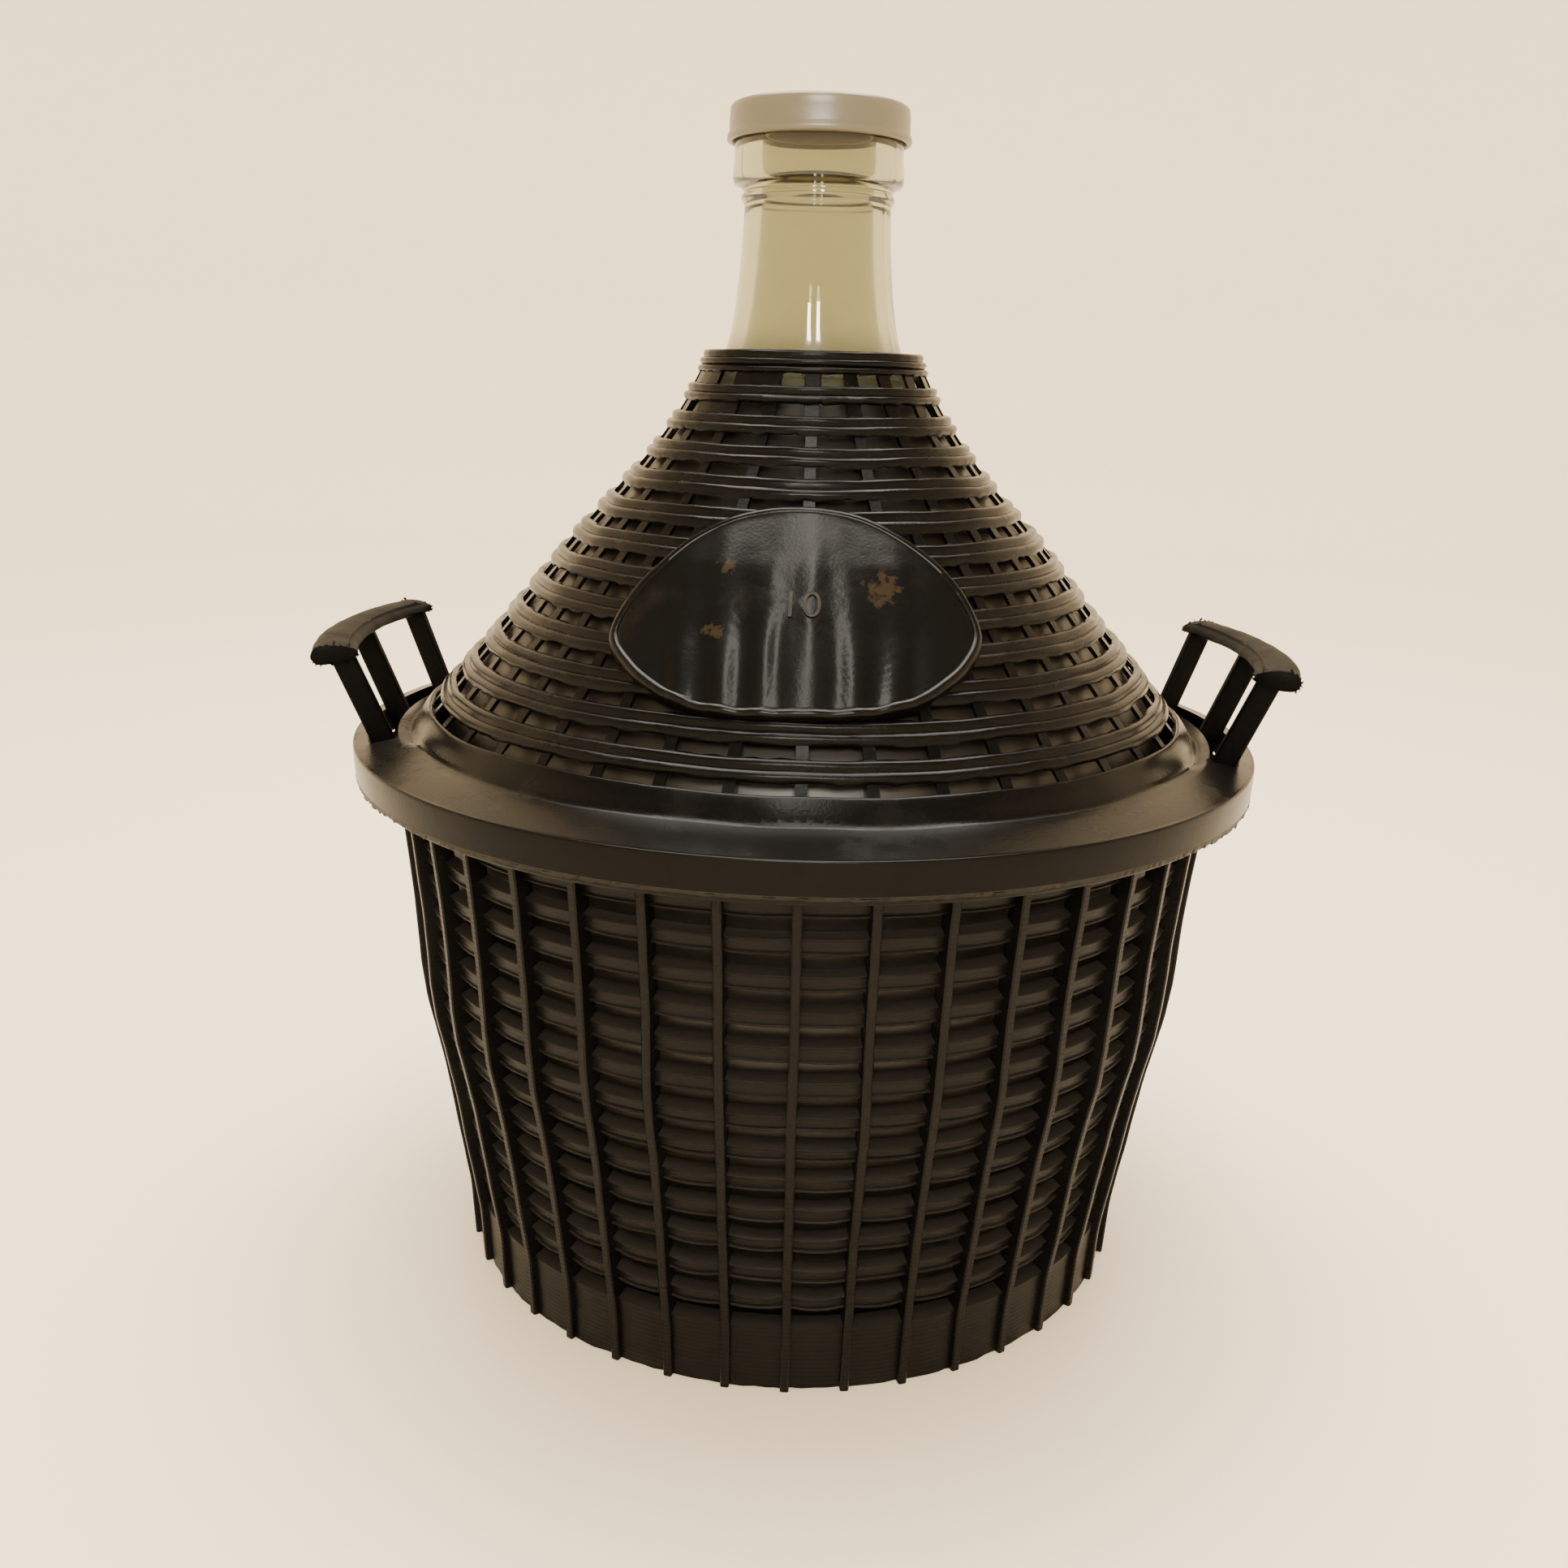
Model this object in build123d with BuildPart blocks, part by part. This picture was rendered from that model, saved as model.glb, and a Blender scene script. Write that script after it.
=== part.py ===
from build123d import *
import math
import os

os.makedirs("parts", exist_ok=True)

# Wicker-pattern demijohn: glass bottle in a moulded basket with a conical cover.
# Millimetres, +Z up, origin on the floor under the middle of the basket.

# ---------------------------------------------------------------- driving sizes
flange_radius = 155.0        # outer edge of the cover flange
basket_height = 176.2        # floor to the top of the basket flange
cover_height = 138.2         # basket flange to the top of the cover collar
neck_rise = 73.7             # cover collar to the sealing rim of the glass
rib_count = 40               # upright ribs round the basket
rib_width = 2.8
rib_depth = 3.3              # how far the ribs stand proud of the slats
slat_depth = 3.9             # core surface to slat face
slat_rows = 13               # rows of openings in the basket wall
slot_height = 4.75
ridge = 0.4
glass_clearance = 1.2        # glass to basket core at the belly
cover_clearance = 1.8        # glass to cover, square to the surface
glass_wall = 3.2
floor_thickness = 3.0
floor_low = 2.0              # the wall stands on its rim, with the floor above it
basket_flange = 2.3          # thickness
flange_inset = 2.7           # basket flange edge inside the cover flange edge
band_height = 24.3           # plain band at the foot of the basket
band_depth = 2.7             # how far the ribs stand proud of the band
top_slot_drop = 11.9         # flange underside to the middle of the first opening
top_slat_height = 6.6
back_wall = 1.9              # wall behind the recess over the top slat
slat_slope = 1.4             # drop of the sloping top of a slat
slat_nose = 0.9              # flat left inside that slope
ridge_height = 0.8
seat_gap = 0.4               # between pieces that move on each other
base_gap = 0.9               # glass base to the basket floor
mouth_radius = 18.4
finish_wall = 8.9            # mouth to the outside of the finish
finish_height = 22.7         # sealing rim to the low edge of the finish
finish_roll = 0.5            # how far the rolled low edge swells past the finish
ring_drop = 26.4             # sealing rim to the middle of the ring under the finish
ring_bulge = 1.1
neck_wall = 5.6              # mouth to the outside of the neck
bore_drop = 6.0              # low edge of the finish to the foot of the straight bore
neck_flare = 5.5             # how much wider the neck is where it enters the cover
collar_gap = 3.8             # neck to cover collar
heel_radius = 7.5            # roundness between belly and base
belly_rise = 14.0            # base to the low end of the belly
push_up = 4.0                # rise of the base at its middle
cap_wall = 1.4
cap_roof = 1.6
cap_skirt = 9.5              # sealing rim to the low edge of the cap
cap_flare = 0.75
plug_depth = 9.3
plug_wall = 1.7
cover_wall = 1.6
flange_thickness = 2.4
flange_width = 19.33         # cone foot to the outer edge of the flange
skirt_wall = 2.2
collar_lip = 2.0             # top bead of the collar, inward of its widest line
bead_height = 1.55
window_slant = 4.0
strap_width = 3.5
window_rows = 13
first_row_drop = 8.3         # collar top to the middle of the first row
last_row_rise = 8.5          # cone foot to the middle of the last row
foot_rise = 3.1              # cone foot above the flange
coarse_rows = 5              # rows with half as many openings
plate_azimuth = 268.0        # where the oval plate sits, turned from +X
plate_half_slant = 37.2
plate_half_width = 55.2
plate_proud = 0.35           # plate face above the bead crests
skirt_height = 10.9
handle_half_angle = 17.4
handle_inset = 9.8           # flange edge to the middle of a handle, at the flange
handle_wall = 8.3
handle_lean = 22.0
handle_gap = 28.9            # flange top to the inner edge of the grip's underside
grip_width = 15.3
grip_height = 4.2            # above the inner edge of its underside
grip_droop = 2.7             # outer edge of its underside, below the inner edge
grip_flat = 6.5              # level part of the underside, along the outer edge
grip_round = 1.8             # outer edge, how far its middle swells outward
grip_nose = 1.3              # inner edge, half its height
grip_fall = 1.0              # crown to the top of the outer edge
grip_crown = 9.2             # inner edge to the highest line
slot_clearance = 0.8
slot_end = 1.8               # degrees of slot left past each end of a handle
slot_corner = 3.0
post_angle = 1.6             # degrees of arc that each handle post covers
web_height = 4.0             # web between the posts, above the basket flange
gap_corner = 2.0
grip_over = 0.9              # degrees of grip past the end posts
grip_lip = 1.2               # grip inward of the posts
grip_bite = 1.5              # how far the posts run up into the grip

# ------------------------------------------------------------- derived levels
flange_top = basket_height + skirt_height
collar_top = basket_height + cover_height
rim_top = collar_top + neck_rise
rib_pitch = 360.0 / rib_count
finish_radius = mouth_radius + finish_wall
neck_radius = mouth_radius + neck_wall
collar_radius = neck_radius + neck_flare + collar_gap + cover_wall + collar_lip
handle_mid = flange_radius - handle_inset
slot_half_angle = handle_half_angle + slot_end
slot_drift = flange_thickness * math.tan(math.radians(handle_lean))
slot_inner = handle_mid - slot_drift - handle_wall / 2 - slot_clearance
slot_outer = handle_mid + handle_wall / 2 + slot_clearance
gap_angle = handle_half_angle - 1.5 * post_angle


def ramp(table, x):
    for (x0, y0), (x1, y1) in zip(table[:-1], table[1:]):
        if x <= x1:
            return y0 + (y1 - y0) * (x - x0) / (x1 - x0)
    return table[-1][1]


# How far the rib crests lie inside the flange edge, against shares of the height.
crest_shape = [
    (0.0, 33.90),
    (0.120, 32.75),
    (0.261, 28.83),
    (0.402, 25.11),
    (0.490, 22.12),
    (0.543, 20.04),
    (0.613, 18.60),
    (0.754, 17.36),
    (0.894, 15.08),
    (1.0, 13.02),
]


def crest_radius(z):
    return flange_radius - ramp(crest_shape, z / basket_height)


def core_radius(z):
    return crest_radius(z) - rib_depth - slat_depth


def face_radius(z):
    return crest_radius(z) - rib_depth


# Cover: centre line of the opening rows, from the collar down to the foot.
foot_radius = flange_radius - flange_width
row_top_z = collar_top - first_row_drop
row_low_z = flange_top + foot_rise + last_row_rise
row_pitch = (row_top_z - row_low_z) / (window_rows - 1)
row_shape = [0.034, 0.080, 0.143, 0.214, 0.295, 0.380, 0.465, 0.539, 0.613, 0.692, 0.770, 0.848, 0.926]
cone_points = []
for i in range(window_rows):
    r = collar_radius + (foot_radius - collar_radius) * row_shape[i]
    cone_points.append((r, row_top_z - i * row_pitch))


def cone_tangent(i):
    a = cone_points[max(i - 1, 0)]
    b = cone_points[min(i + 1, window_rows - 1)]
    dr = b[0] - a[0]
    dz = b[1] - a[1]
    d = math.hypot(dr, dz)
    return dr / d, dz / d


def off(point, tangent, along, out):
    # normal points outward and up for a downward running tangent
    nr = -tangent[1]
    nz = tangent[0]
    return (
        point[0] + tangent[0] * along + nr * out,
        point[1] + tangent[1] * along + nz * out,
    )


def unit(x, y):
    return (x / math.hypot(x, y), y / math.hypot(x, y))


def arcs_through(points, first, final):
    # tangent arcs, two for each step from one point to the next
    ways = [unit(*first)]
    for a, b, c in zip(points[:-2], points[1:-1], points[2:]):
        ab = math.dist(a, b)
        bc = math.dist(b, c)
        x = (b[0] - a[0]) / ab * bc + (c[0] - b[0]) / bc * ab
        y = (b[1] - a[1]) / ab * bc + (c[1] - b[1]) / bc * ab
        ways.append(unit(x, y))
    ways.append(unit(*final))
    for a, b, u, v in zip(points[:-1], points[1:], ways[:-1], ways[1:]):
        bend = 2 - 2 * (u[0] * v[0] + u[1] * v[1])
        along = (b[0] - a[0]) * (u[0] + v[0]) + (b[1] - a[1]) * (u[1] + v[1])
        reach = math.dist(a, b) ** 2 / (along + math.sqrt(along**2 + bend * math.dist(a, b) ** 2))
        x = (a[0] + b[0] + reach * (u[0] - v[0])) / 2
        y = (a[1] + b[1] + reach * (u[1] - v[1])) / 2
        TangentArc(a, (x, y), tangent=u)
        TangentArc(b, (x, y), tangent=(-v[0], -v[1]))


# ------------------------------------------------------------------ the glass
glass_base = floor_low + floor_thickness + base_gap
belly_table = [
    (glass_base + belly_rise, 7.0),
    (0.26 * basket_height, 3.4),
    (0.40 * basket_height, 2.0),
    (0.55 * basket_height, glass_clearance),
    (0.66 * basket_height, glass_clearance),
    (0.77 * basket_height, 2.6),
    (0.87 * basket_height, 4.8),
    (0.97 * basket_height, 8.2),
]
glass_points = []
for z, gap in belly_table:
    glass_points.append((core_radius(z) - gap, z))
for i in (12, 10, 8, 6, 4, 3, 2, 1, 0):
    inward = bead_height + cover_wall + cover_clearance
    if i == 12:
        inward = inward + 3.0
    if i == 10:
        inward = inward + 0.8
    glass_points.append(off(cone_points[i], cone_tangent(i), 0.0, -inward))
glass_points.append((neck_radius + neck_flare, collar_top))
glass_points.append((neck_radius + 2.8, collar_top + 0.15 * neck_rise))
glass_points.append((neck_radius + 0.9, collar_top + 0.36 * neck_rise))
glass_points.append((neck_radius, collar_top + 0.56 * neck_rise))

neck_ring_z = rim_top - ring_drop
finish_low = rim_top - finish_height
heel = (glass_points[0][0] - heel_radius, glass_base)
inner_points = []
last = len(glass_points) - 1
for k, (r, z) in enumerate(glass_points):
    a = glass_points[max(k - 1, 0)]
    b = glass_points[min(k + 1, last)]
    d = math.hypot(b[0] - a[0], b[1] - a[1])
    nr = (b[1] - a[1]) / d
    nz = -(b[0] - a[0]) / d
    wall = glass_wall
    if z > collar_top - 30.0:
        share = min((z - collar_top + 30.0) / 45.0, 1.0)
        wall = glass_wall + (neck_radius - mouth_radius - glass_wall) * share
    inner_points.append((r - nr * wall, z - nz * wall))
inner_points[-1] = (mouth_radius, glass_points[-1][1])
inner_points[0] = (glass_points[0][0] - glass_wall - 0.3, glass_points[0][1] + 0.6)
inner_heel = (heel[0] - 1.0, glass_base + push_up)
heel_way = (1, 0.25)
inner_heel_way = (-1, -0.1)
bore = [(mouth_radius, finish_low - bore_drop), *reversed(inner_points[:-1])]

with BuildPart() as glass_demijohn:
    with BuildSketch(Plane.XZ):
        with BuildLine():
            l1 = Polyline(
                (0, glass_base + push_up),
                (heel[0] - 14.0, glass_base + 1.2),
                (heel[0] - 4.0, glass_base),
                heel,
            )
            arcs_through([heel, *glass_points], heel_way, (0, 1))
            l4 = Line(glass_points[-1], (neck_radius, neck_ring_z - 1.6))
            l5 = ThreePointArc(
                l4 @ 1,
                (neck_radius + ring_bulge, neck_ring_z),
                (neck_radius, neck_ring_z + 1.6),
            )
            l6 = Line(l5 @ 1, (finish_radius - 1.9, finish_low))
            l7 = ThreePointArc(
                l6 @ 1,
                (finish_radius + 0.2, finish_low + 0.9),
                (finish_radius + finish_roll, finish_low + 3.0),
            )
            l8 = Line(l7 @ 1, (finish_radius, finish_low + 12.0))
            l9 = Line(l8 @ 1, (finish_radius - 0.3, rim_top - 2.2))
            l10 = ThreePointArc(
                l9 @ 1,
                (finish_radius - 0.95, rim_top - 0.65),
                (finish_radius - 2.5, rim_top),
            )
            l11 = Line(l10 @ 1, (mouth_radius + 1.4, rim_top))
            l12 = ThreePointArc(
                l11 @ 1,
                (mouth_radius + 0.4, rim_top - 0.4),
                (mouth_radius, rim_top - 1.4),
            )
            l13 = Line(l12 @ 1, bore[0])
            arcs_through([*bore, inner_heel], (0, -1), inner_heel_way)
            l16 = Polyline(
                inner_heel,
                (0, glass_base + 2 * push_up),
                (0, glass_base + push_up),
            )
        make_face()
    revolve(axis=Axis.Z)
glass_demijohn.part.label = "glass_demijohn"
export_step(glass_demijohn.part, "parts/glass_demijohn.step")

# -------------------------------------------------------------------- the cap
cap_under = rim_top + seat_gap
cap_top = cap_under + cap_roof
cap_inner = finish_radius + seat_gap
cap_low = rim_top - cap_skirt
plug_outer = mouth_radius - seat_gap
with BuildPart() as snap_cap:
    with BuildSketch(Plane.XZ):
        with BuildLine():
            Polyline(
                (0, cap_under),
                (0, cap_top),
                (cap_inner + cap_wall - 1.2, cap_top),
                (cap_inner + cap_wall - 0.35, cap_top - 0.35),
                (cap_inner + cap_wall, cap_top - 1.2),
                (cap_inner + cap_wall + 0.2, cap_low + 2.6),
                (cap_inner + cap_wall + cap_flare, cap_low + 1.8),
                (cap_inner + cap_wall + cap_flare, cap_low),
                (cap_inner + 0.35, cap_low),
                (cap_inner, cap_low + 0.8),
                (cap_inner, cap_under),
                (plug_outer, cap_under),
                (plug_outer, cap_under - plug_depth + 2.0),
                (plug_outer - 0.7, cap_under - plug_depth),
                (plug_outer - 1.5, cap_under - plug_depth),
                (plug_outer - plug_wall, cap_under),
                (0, cap_under),
            )
        make_face()
    revolve(axis=Axis.Z)
snap_cap.part.label = "snap_cap"
export_step(snap_cap.part, "parts/snap_cap.step")

# ------------------------------------------------------------------ the cover
strip_ends = []
for i in range(window_rows):
    t = cone_tangent(i)
    upper = off(cone_points[i], t, -window_slant / 2, -bead_height)
    lower = off(cone_points[i], t, window_slant / 2, -bead_height)
    strip_ends.append((upper, lower))
foot = (foot_radius, flange_top + foot_rise)
skirt_in = flange_radius - skirt_wall
flange_under = flange_top - flange_thickness


def bead(start, end, height):
    mr = (start[0] + end[0]) / 2
    mz = (start[1] + end[1]) / 2
    dr = end[0] - start[0]
    dz = end[1] - start[1]
    d = math.hypot(dr, dz)
    return (mr - dz / d * height, mz + dr / d * height)


with BuildPart() as cover_shell:
    with BuildSketch(Plane.XZ):
        with BuildLine():
            here = (collar_radius - collar_lip, collar_top)
            collar_end = strip_ends[0][0]
            collar_step = (collar_end[1] - collar_top) / 3
            for k in range(3):
                share = (k + 1) / 3
                there = (
                    collar_radius - 0.9 + (collar_end[0] - collar_radius + 0.9) * share,
                    collar_top + collar_step * (k + 1),
                )
                if k == 2:
                    there = collar_end
                ThreePointArc(here, bead(here, there, 0.9), there)
                here = there
            for i in range(window_rows):
                Line(strip_ends[i][0], strip_ends[i][1])
                if i < window_rows - 1:
                    a = strip_ends[i][1]
                    b = strip_ends[i + 1][0]
                    t = cone_tangent(i)
                    groove = bead(a, b, 0.55)
                    ThreePointArc(a, bead(a, groove, 1.2), groove)
                    ThreePointArc(groove, bead(groove, b, 1.2), b)
            edge = strip_ends[-1][1]
            lip = off(edge, cone_tangent(window_rows - 1), 0.4, 0.9)
            Polyline(
                edge,
                lip,
                (foot[0] - 0.6, foot[1] + 0.45),
                (foot[0] + 0.2, foot[1] - 0.4),
                (flange_radius - 1.2, flange_top),
                (flange_radius - 0.4, flange_top - 0.3),
                (flange_radius, flange_top - 1.1),
                (flange_radius - 0.4, basket_height),
                (skirt_in, basket_height),
                (skirt_in, flange_under),
                (foot[0] - 1.0, flange_under + foot_rise),
            )
            inner = [(foot[0] - 1.0, flange_under + foot_rise)]
            for i in reversed(range(window_rows)):
                inner.append(off(cone_points[i], cone_tangent(i), 0.0, -bead_height - cover_wall))
            inner.append((collar_radius - collar_lip - cover_wall, collar_top))
            inner.append((collar_radius - collar_lip, collar_top))
            Polyline(*inner)
        make_face()
    revolve(axis=Axis.Z)

# openings: one cutter per row, repeated round the axis
openings = []
for i in range(window_rows):
    count = rib_count
    if i < coarse_rows:
        count = rib_count // 2
    strap = strap_width
    if i < 2:
        strap = strap_width * 1.3
    t = cone_tangent(i)
    span = 360.0 / count - math.degrees(strap / cone_points[i][0])
    half = window_slant / 2 - 0.05
    corner = [
        off(cone_points[i], t, -half, 1.0),
        off(cone_points[i], t, half, 1.0),
        off(cone_points[i], t, half, -bead_height - cover_wall - 1.0),
        off(cone_points[i], t, -half, -bead_height - cover_wall - 1.0),
    ]
    with BuildPart() as cutter:
        with BuildSketch(Plane.XZ):
            with BuildLine():
                Polyline(*corner, close=True)
            make_face()
        revolve(axis=Axis.Z, revolution_arc=span)
    first = cutter.part.rotate(Axis.Z, (360.0 / count - span) / 2)
    for place in PolarLocations(0, count):
        openings.append(place * first)

# oval plate on the front of the cone
plate_row = 7
plate_sweep = 100.0
plate_outline = [
    (0.0, 1.0),
    (0.258, 0.955),
    (0.50, 0.86),
    (0.76, 0.62),
    (0.915, 0.28),
    (1.0, -0.10),
    (1.02, -0.38),
    (0.93, -0.68),
    (0.66, -0.90),
    (0.33, -0.98),
]
plate_tangent = cone_tangent(plate_row)
plate_mid = cone_points[plate_row]
outline = []
for px, py in plate_outline:
    outline.append((px * plate_half_width, py * plate_half_slant))
outline.append((0.0, -plate_half_slant))
for px, py in reversed(plate_outline[1:]):
    outline.append((-px * plate_half_width, py * plate_half_slant))


def plate_layer(low, high):
    # a strip of cone, low..high above the bead crests, as a closed ring section
    points = []
    for row in range(2, window_rows):
        points.append(off(cone_points[row], cone_tangent(row), 0.0, high))
    for row in reversed(range(2, window_rows)):
        points.append(off(cone_points[row], cone_tangent(row), 0.0, low))
    return points


with BuildPart() as cone_layer:
    with BuildSketch(Plane.XZ):
        with BuildLine():
            Polyline(*plate_layer(-bead_height - cover_wall, plate_proud), close=True)
        make_face()
    revolve(axis=Axis.Z, revolution_arc=plate_sweep)

with BuildPart() as label_plate:
    with BuildSketch(
        Plane(
            origin=(plate_mid[0], 0, plate_mid[1]),
            x_dir=(0, 1, 0),
            z_dir=(-plate_tangent[1], 0, plate_tangent[0]),
        )
    ):
        with BuildLine():
            Spline(*outline, periodic=True)
        make_face()
    extrude(amount=plate_half_slant, both=True)
    add(cone_layer.part.rotate(Axis.Z, -plate_sweep / 2), mode=Mode.INTERSECT)

# arc shaped slots that the handles come up through
with BuildPart() as handle_slot:
    with BuildSketch(Plane.XZ):
        with BuildLine():
            Polyline(
                (slot_inner, flange_under - 2),
                (slot_inner, flange_top + foot_rise),
                (slot_outer, flange_top + foot_rise),
                (slot_outer, flange_under - 2),
                close=True,
            )
        make_face()
    revolve(axis=Axis.Z, revolution_arc=2 * slot_half_angle)
    fillet(handle_slot.edges().filter_by(Axis.Z), slot_corner)

for side in (0, 180):
    openings.append(handle_slot.part.rotate(Axis.Z, side - slot_half_angle))

with BuildPart() as cover:
    add(cover_shell.part)
    add(openings, mode=Mode.SUBTRACT)
    add(label_plate.part.rotate(Axis.Z, plate_azimuth))
cover.part.label = "cover"
export_step(cover.part, "parts/cover.step")

# ----------------------------------------------------------------- the basket
floor_top = floor_low + floor_thickness
wall_top = basket_height - basket_flange
first_slot = wall_top - top_slot_drop
last_slot = band_height + slot_height / 2
slot_pitch = (first_slot - last_slot) / (slat_rows - 1)
through = 4.0

# one pocket between two ribs: slat faces and the openings between them
far = flange_radius
rib_angle = math.degrees(rib_width / core_radius(basket_height))
path = [(far, wall_top), (core_radius(wall_top) + back_wall, wall_top)]
top = first_slot + slot_height / 2 + top_slat_height
for i in range(slat_rows + 1):
    low = first_slot - i * slot_pitch + slot_height / 2
    if i == 0:
        path.append((core_radius(top) + back_wall, top))
    else:
        path.append((core_radius(top) - through, top))
        path.append((core_radius(top) + slat_nose, top))
    if i == slat_rows:
        path.append((crest_radius(top) - band_depth, top - slat_slope))
        for share, _ in reversed(crest_shape[:-1]):
            z = share * basket_height
            if z < top - 2 * slat_slope:
                path.append((crest_radius(z) - band_depth, z))
        path.append((crest_radius(0) - band_depth, -through))
        path.append((far, -through))
    else:
        path.append((face_radius(top), top - slat_slope))
        path.append((face_radius(top), top - slat_slope - ridge_height))
        path.append((face_radius(top) - ridge, top - slat_slope - ridge_height))
        path.append((face_radius(low) - ridge, low + ridge_height))
        path.append((face_radius(low), low + ridge_height))
        path.append((face_radius(low), low))
        path.append((core_radius(low) - through, low))
        top = low - slot_height

with BuildPart() as pocket:
    with BuildSketch(Plane.XZ):
        with BuildLine():
            Polyline(*path, close=True)
        make_face()
    revolve(axis=Axis.Z, revolution_arc=rib_pitch - rib_angle)

outer = [(0, floor_low), (core_radius(0), floor_low)]
for share, _ in crest_shape:
    z = share * wall_top
    if z == 0:
        outer.append((core_radius(z), z))
    outer.append((crest_radius(z), z))
outer.append((flange_radius - flange_inset, wall_top))
outer.append((flange_radius - flange_inset, basket_height))
outer.append((core_radius(basket_height), basket_height))
for share, _ in reversed(crest_shape[1:-1]):
    z = share * basket_height
    outer.append((core_radius(z), z))
outer.append((core_radius(floor_top), floor_top))
outer.append((0, floor_top))

with BuildPart() as basket:
    with BuildSketch(Plane.XZ):
        with BuildLine():
            Polyline(*outer, close=True)
        make_face()
    revolve(axis=Axis.Z)
    with PolarLocations(0, rib_count):
        add(pocket.part.rotate(Axis.Z, rib_angle / 2), mode=Mode.SUBTRACT)
basket.part.label = "basket"
export_step(basket.part, "parts/basket.step")

# ---------------------------------------------------------------- the handles
under = flange_top + handle_gap


def comb_radius(z):
    return handle_mid + (z - flange_top) * math.tan(math.radians(handle_lean))


with BuildPart() as comb:
    with BuildSketch(Plane.XZ):
        with BuildLine():
            Polyline(
                (comb_radius(basket_height) - handle_wall / 2, basket_height),
                (comb_radius(basket_height) + handle_wall / 2, basket_height),
                (comb_radius(under + grip_bite) + handle_wall / 2, under + grip_bite),
                (comb_radius(under + grip_bite) - handle_wall / 2, under + grip_bite),
                close=True,
            )
        make_face()
    revolve(axis=Axis.Z, revolution_arc=2 * handle_half_angle)

with BuildPart() as finger_gap:
    with BuildSketch(Plane.XZ):
        with BuildLine():
            Polyline(
                (comb_radius(basket_height) - handle_wall, basket_height + web_height),
                (comb_radius(under) + handle_wall, basket_height + web_height),
                (comb_radius(under) + handle_wall, under),
                (comb_radius(basket_height) - handle_wall, under),
                close=True,
            )
        make_face()
    revolve(axis=Axis.Z, revolution_arc=gap_angle)
    straight = finger_gap.edges().filter_by(GeomType.LINE)
    fillet(straight.filter_by(Axis.Z, reverse=True), gap_corner)

with BuildPart() as grip:
    with BuildSketch(Plane.XZ):
        with BuildLine():
            left = comb_radius(under) - handle_wall / 2 - grip_lip
            right = left + grip_width
            high = under + grip_height
            low = under - grip_droop
            g1 = Polyline(
                (left + grip_nose / 2, under),
                (right - grip_flat, low),
                (right - grip_round, low),
            )
            swell = (right, (low + high - grip_fall) / 2)
            g2 = ThreePointArc(g1 @ 1, swell, (right - grip_round, high - grip_fall))
            inner_top = (left + grip_nose / 2, under + 2 * grip_nose)
            g3 = ThreePointArc(g2 @ 1, (left + grip_crown, high), inner_top)
            g4 = ThreePointArc(g3 @ 1, (left, under + grip_nose), g1 @ 0)
        make_face()
    revolve(axis=Axis.Z, revolution_arc=2 * handle_half_angle + 2 * grip_over)

with BuildPart() as handle:
    add(comb.part)
    for start in (post_angle, post_angle * 2 + gap_angle):
        add(finger_gap.part.rotate(Axis.Z, start), mode=Mode.SUBTRACT)
    add(grip.part.rotate(Axis.Z, -grip_over))

with BuildPart() as right_handle:
    add(handle.part.rotate(Axis.Z, -handle_half_angle))
right_handle.part.label = "right_handle"
export_step(right_handle.part, "parts/right_handle.step")

with BuildPart() as left_handle:
    add(handle.part.rotate(Axis.Z, 180 - handle_half_angle))
left_handle.part.label = "left_handle"
export_step(left_handle.part, "parts/left_handle.step")
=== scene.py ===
# %% [markdown]
# # A ten litre bottle in its moulded basket
# The object is a glass demijohn that stands in a black plastic basket, under a conical
# plastic cover with rows of small windows. A milky cap closes the neck.
# The sizes were settled in CAD, and this script builds the looks around that frame.

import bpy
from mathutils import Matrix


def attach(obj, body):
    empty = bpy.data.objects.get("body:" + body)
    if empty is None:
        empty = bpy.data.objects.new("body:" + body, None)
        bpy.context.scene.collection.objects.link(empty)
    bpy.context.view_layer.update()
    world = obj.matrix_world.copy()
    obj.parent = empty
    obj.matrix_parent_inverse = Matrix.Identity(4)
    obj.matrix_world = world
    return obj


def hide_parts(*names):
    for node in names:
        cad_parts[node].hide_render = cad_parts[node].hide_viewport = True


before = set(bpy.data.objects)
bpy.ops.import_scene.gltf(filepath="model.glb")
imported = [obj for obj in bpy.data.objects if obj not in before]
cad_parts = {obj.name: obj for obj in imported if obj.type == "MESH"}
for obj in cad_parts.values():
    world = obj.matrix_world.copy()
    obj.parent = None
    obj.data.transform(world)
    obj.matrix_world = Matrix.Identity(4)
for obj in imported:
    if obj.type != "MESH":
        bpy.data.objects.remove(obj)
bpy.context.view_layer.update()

# %% Names used all the way through
import math
import random

import bpy
import numpy as np
from mathutils import Matrix, Vector, noise

MM = 0.001
chance = random.Random(11)

# %% [markdown]
# ## Camera
# The object is seen from a little above, from half a metre away, so its sides fall back
# strongly. The camera comes first, because every later choice is judged through it.
# It could be aimed with a Track To constraint; here its three axes are written out,
# because the view also leans by a degree and a half.

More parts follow.
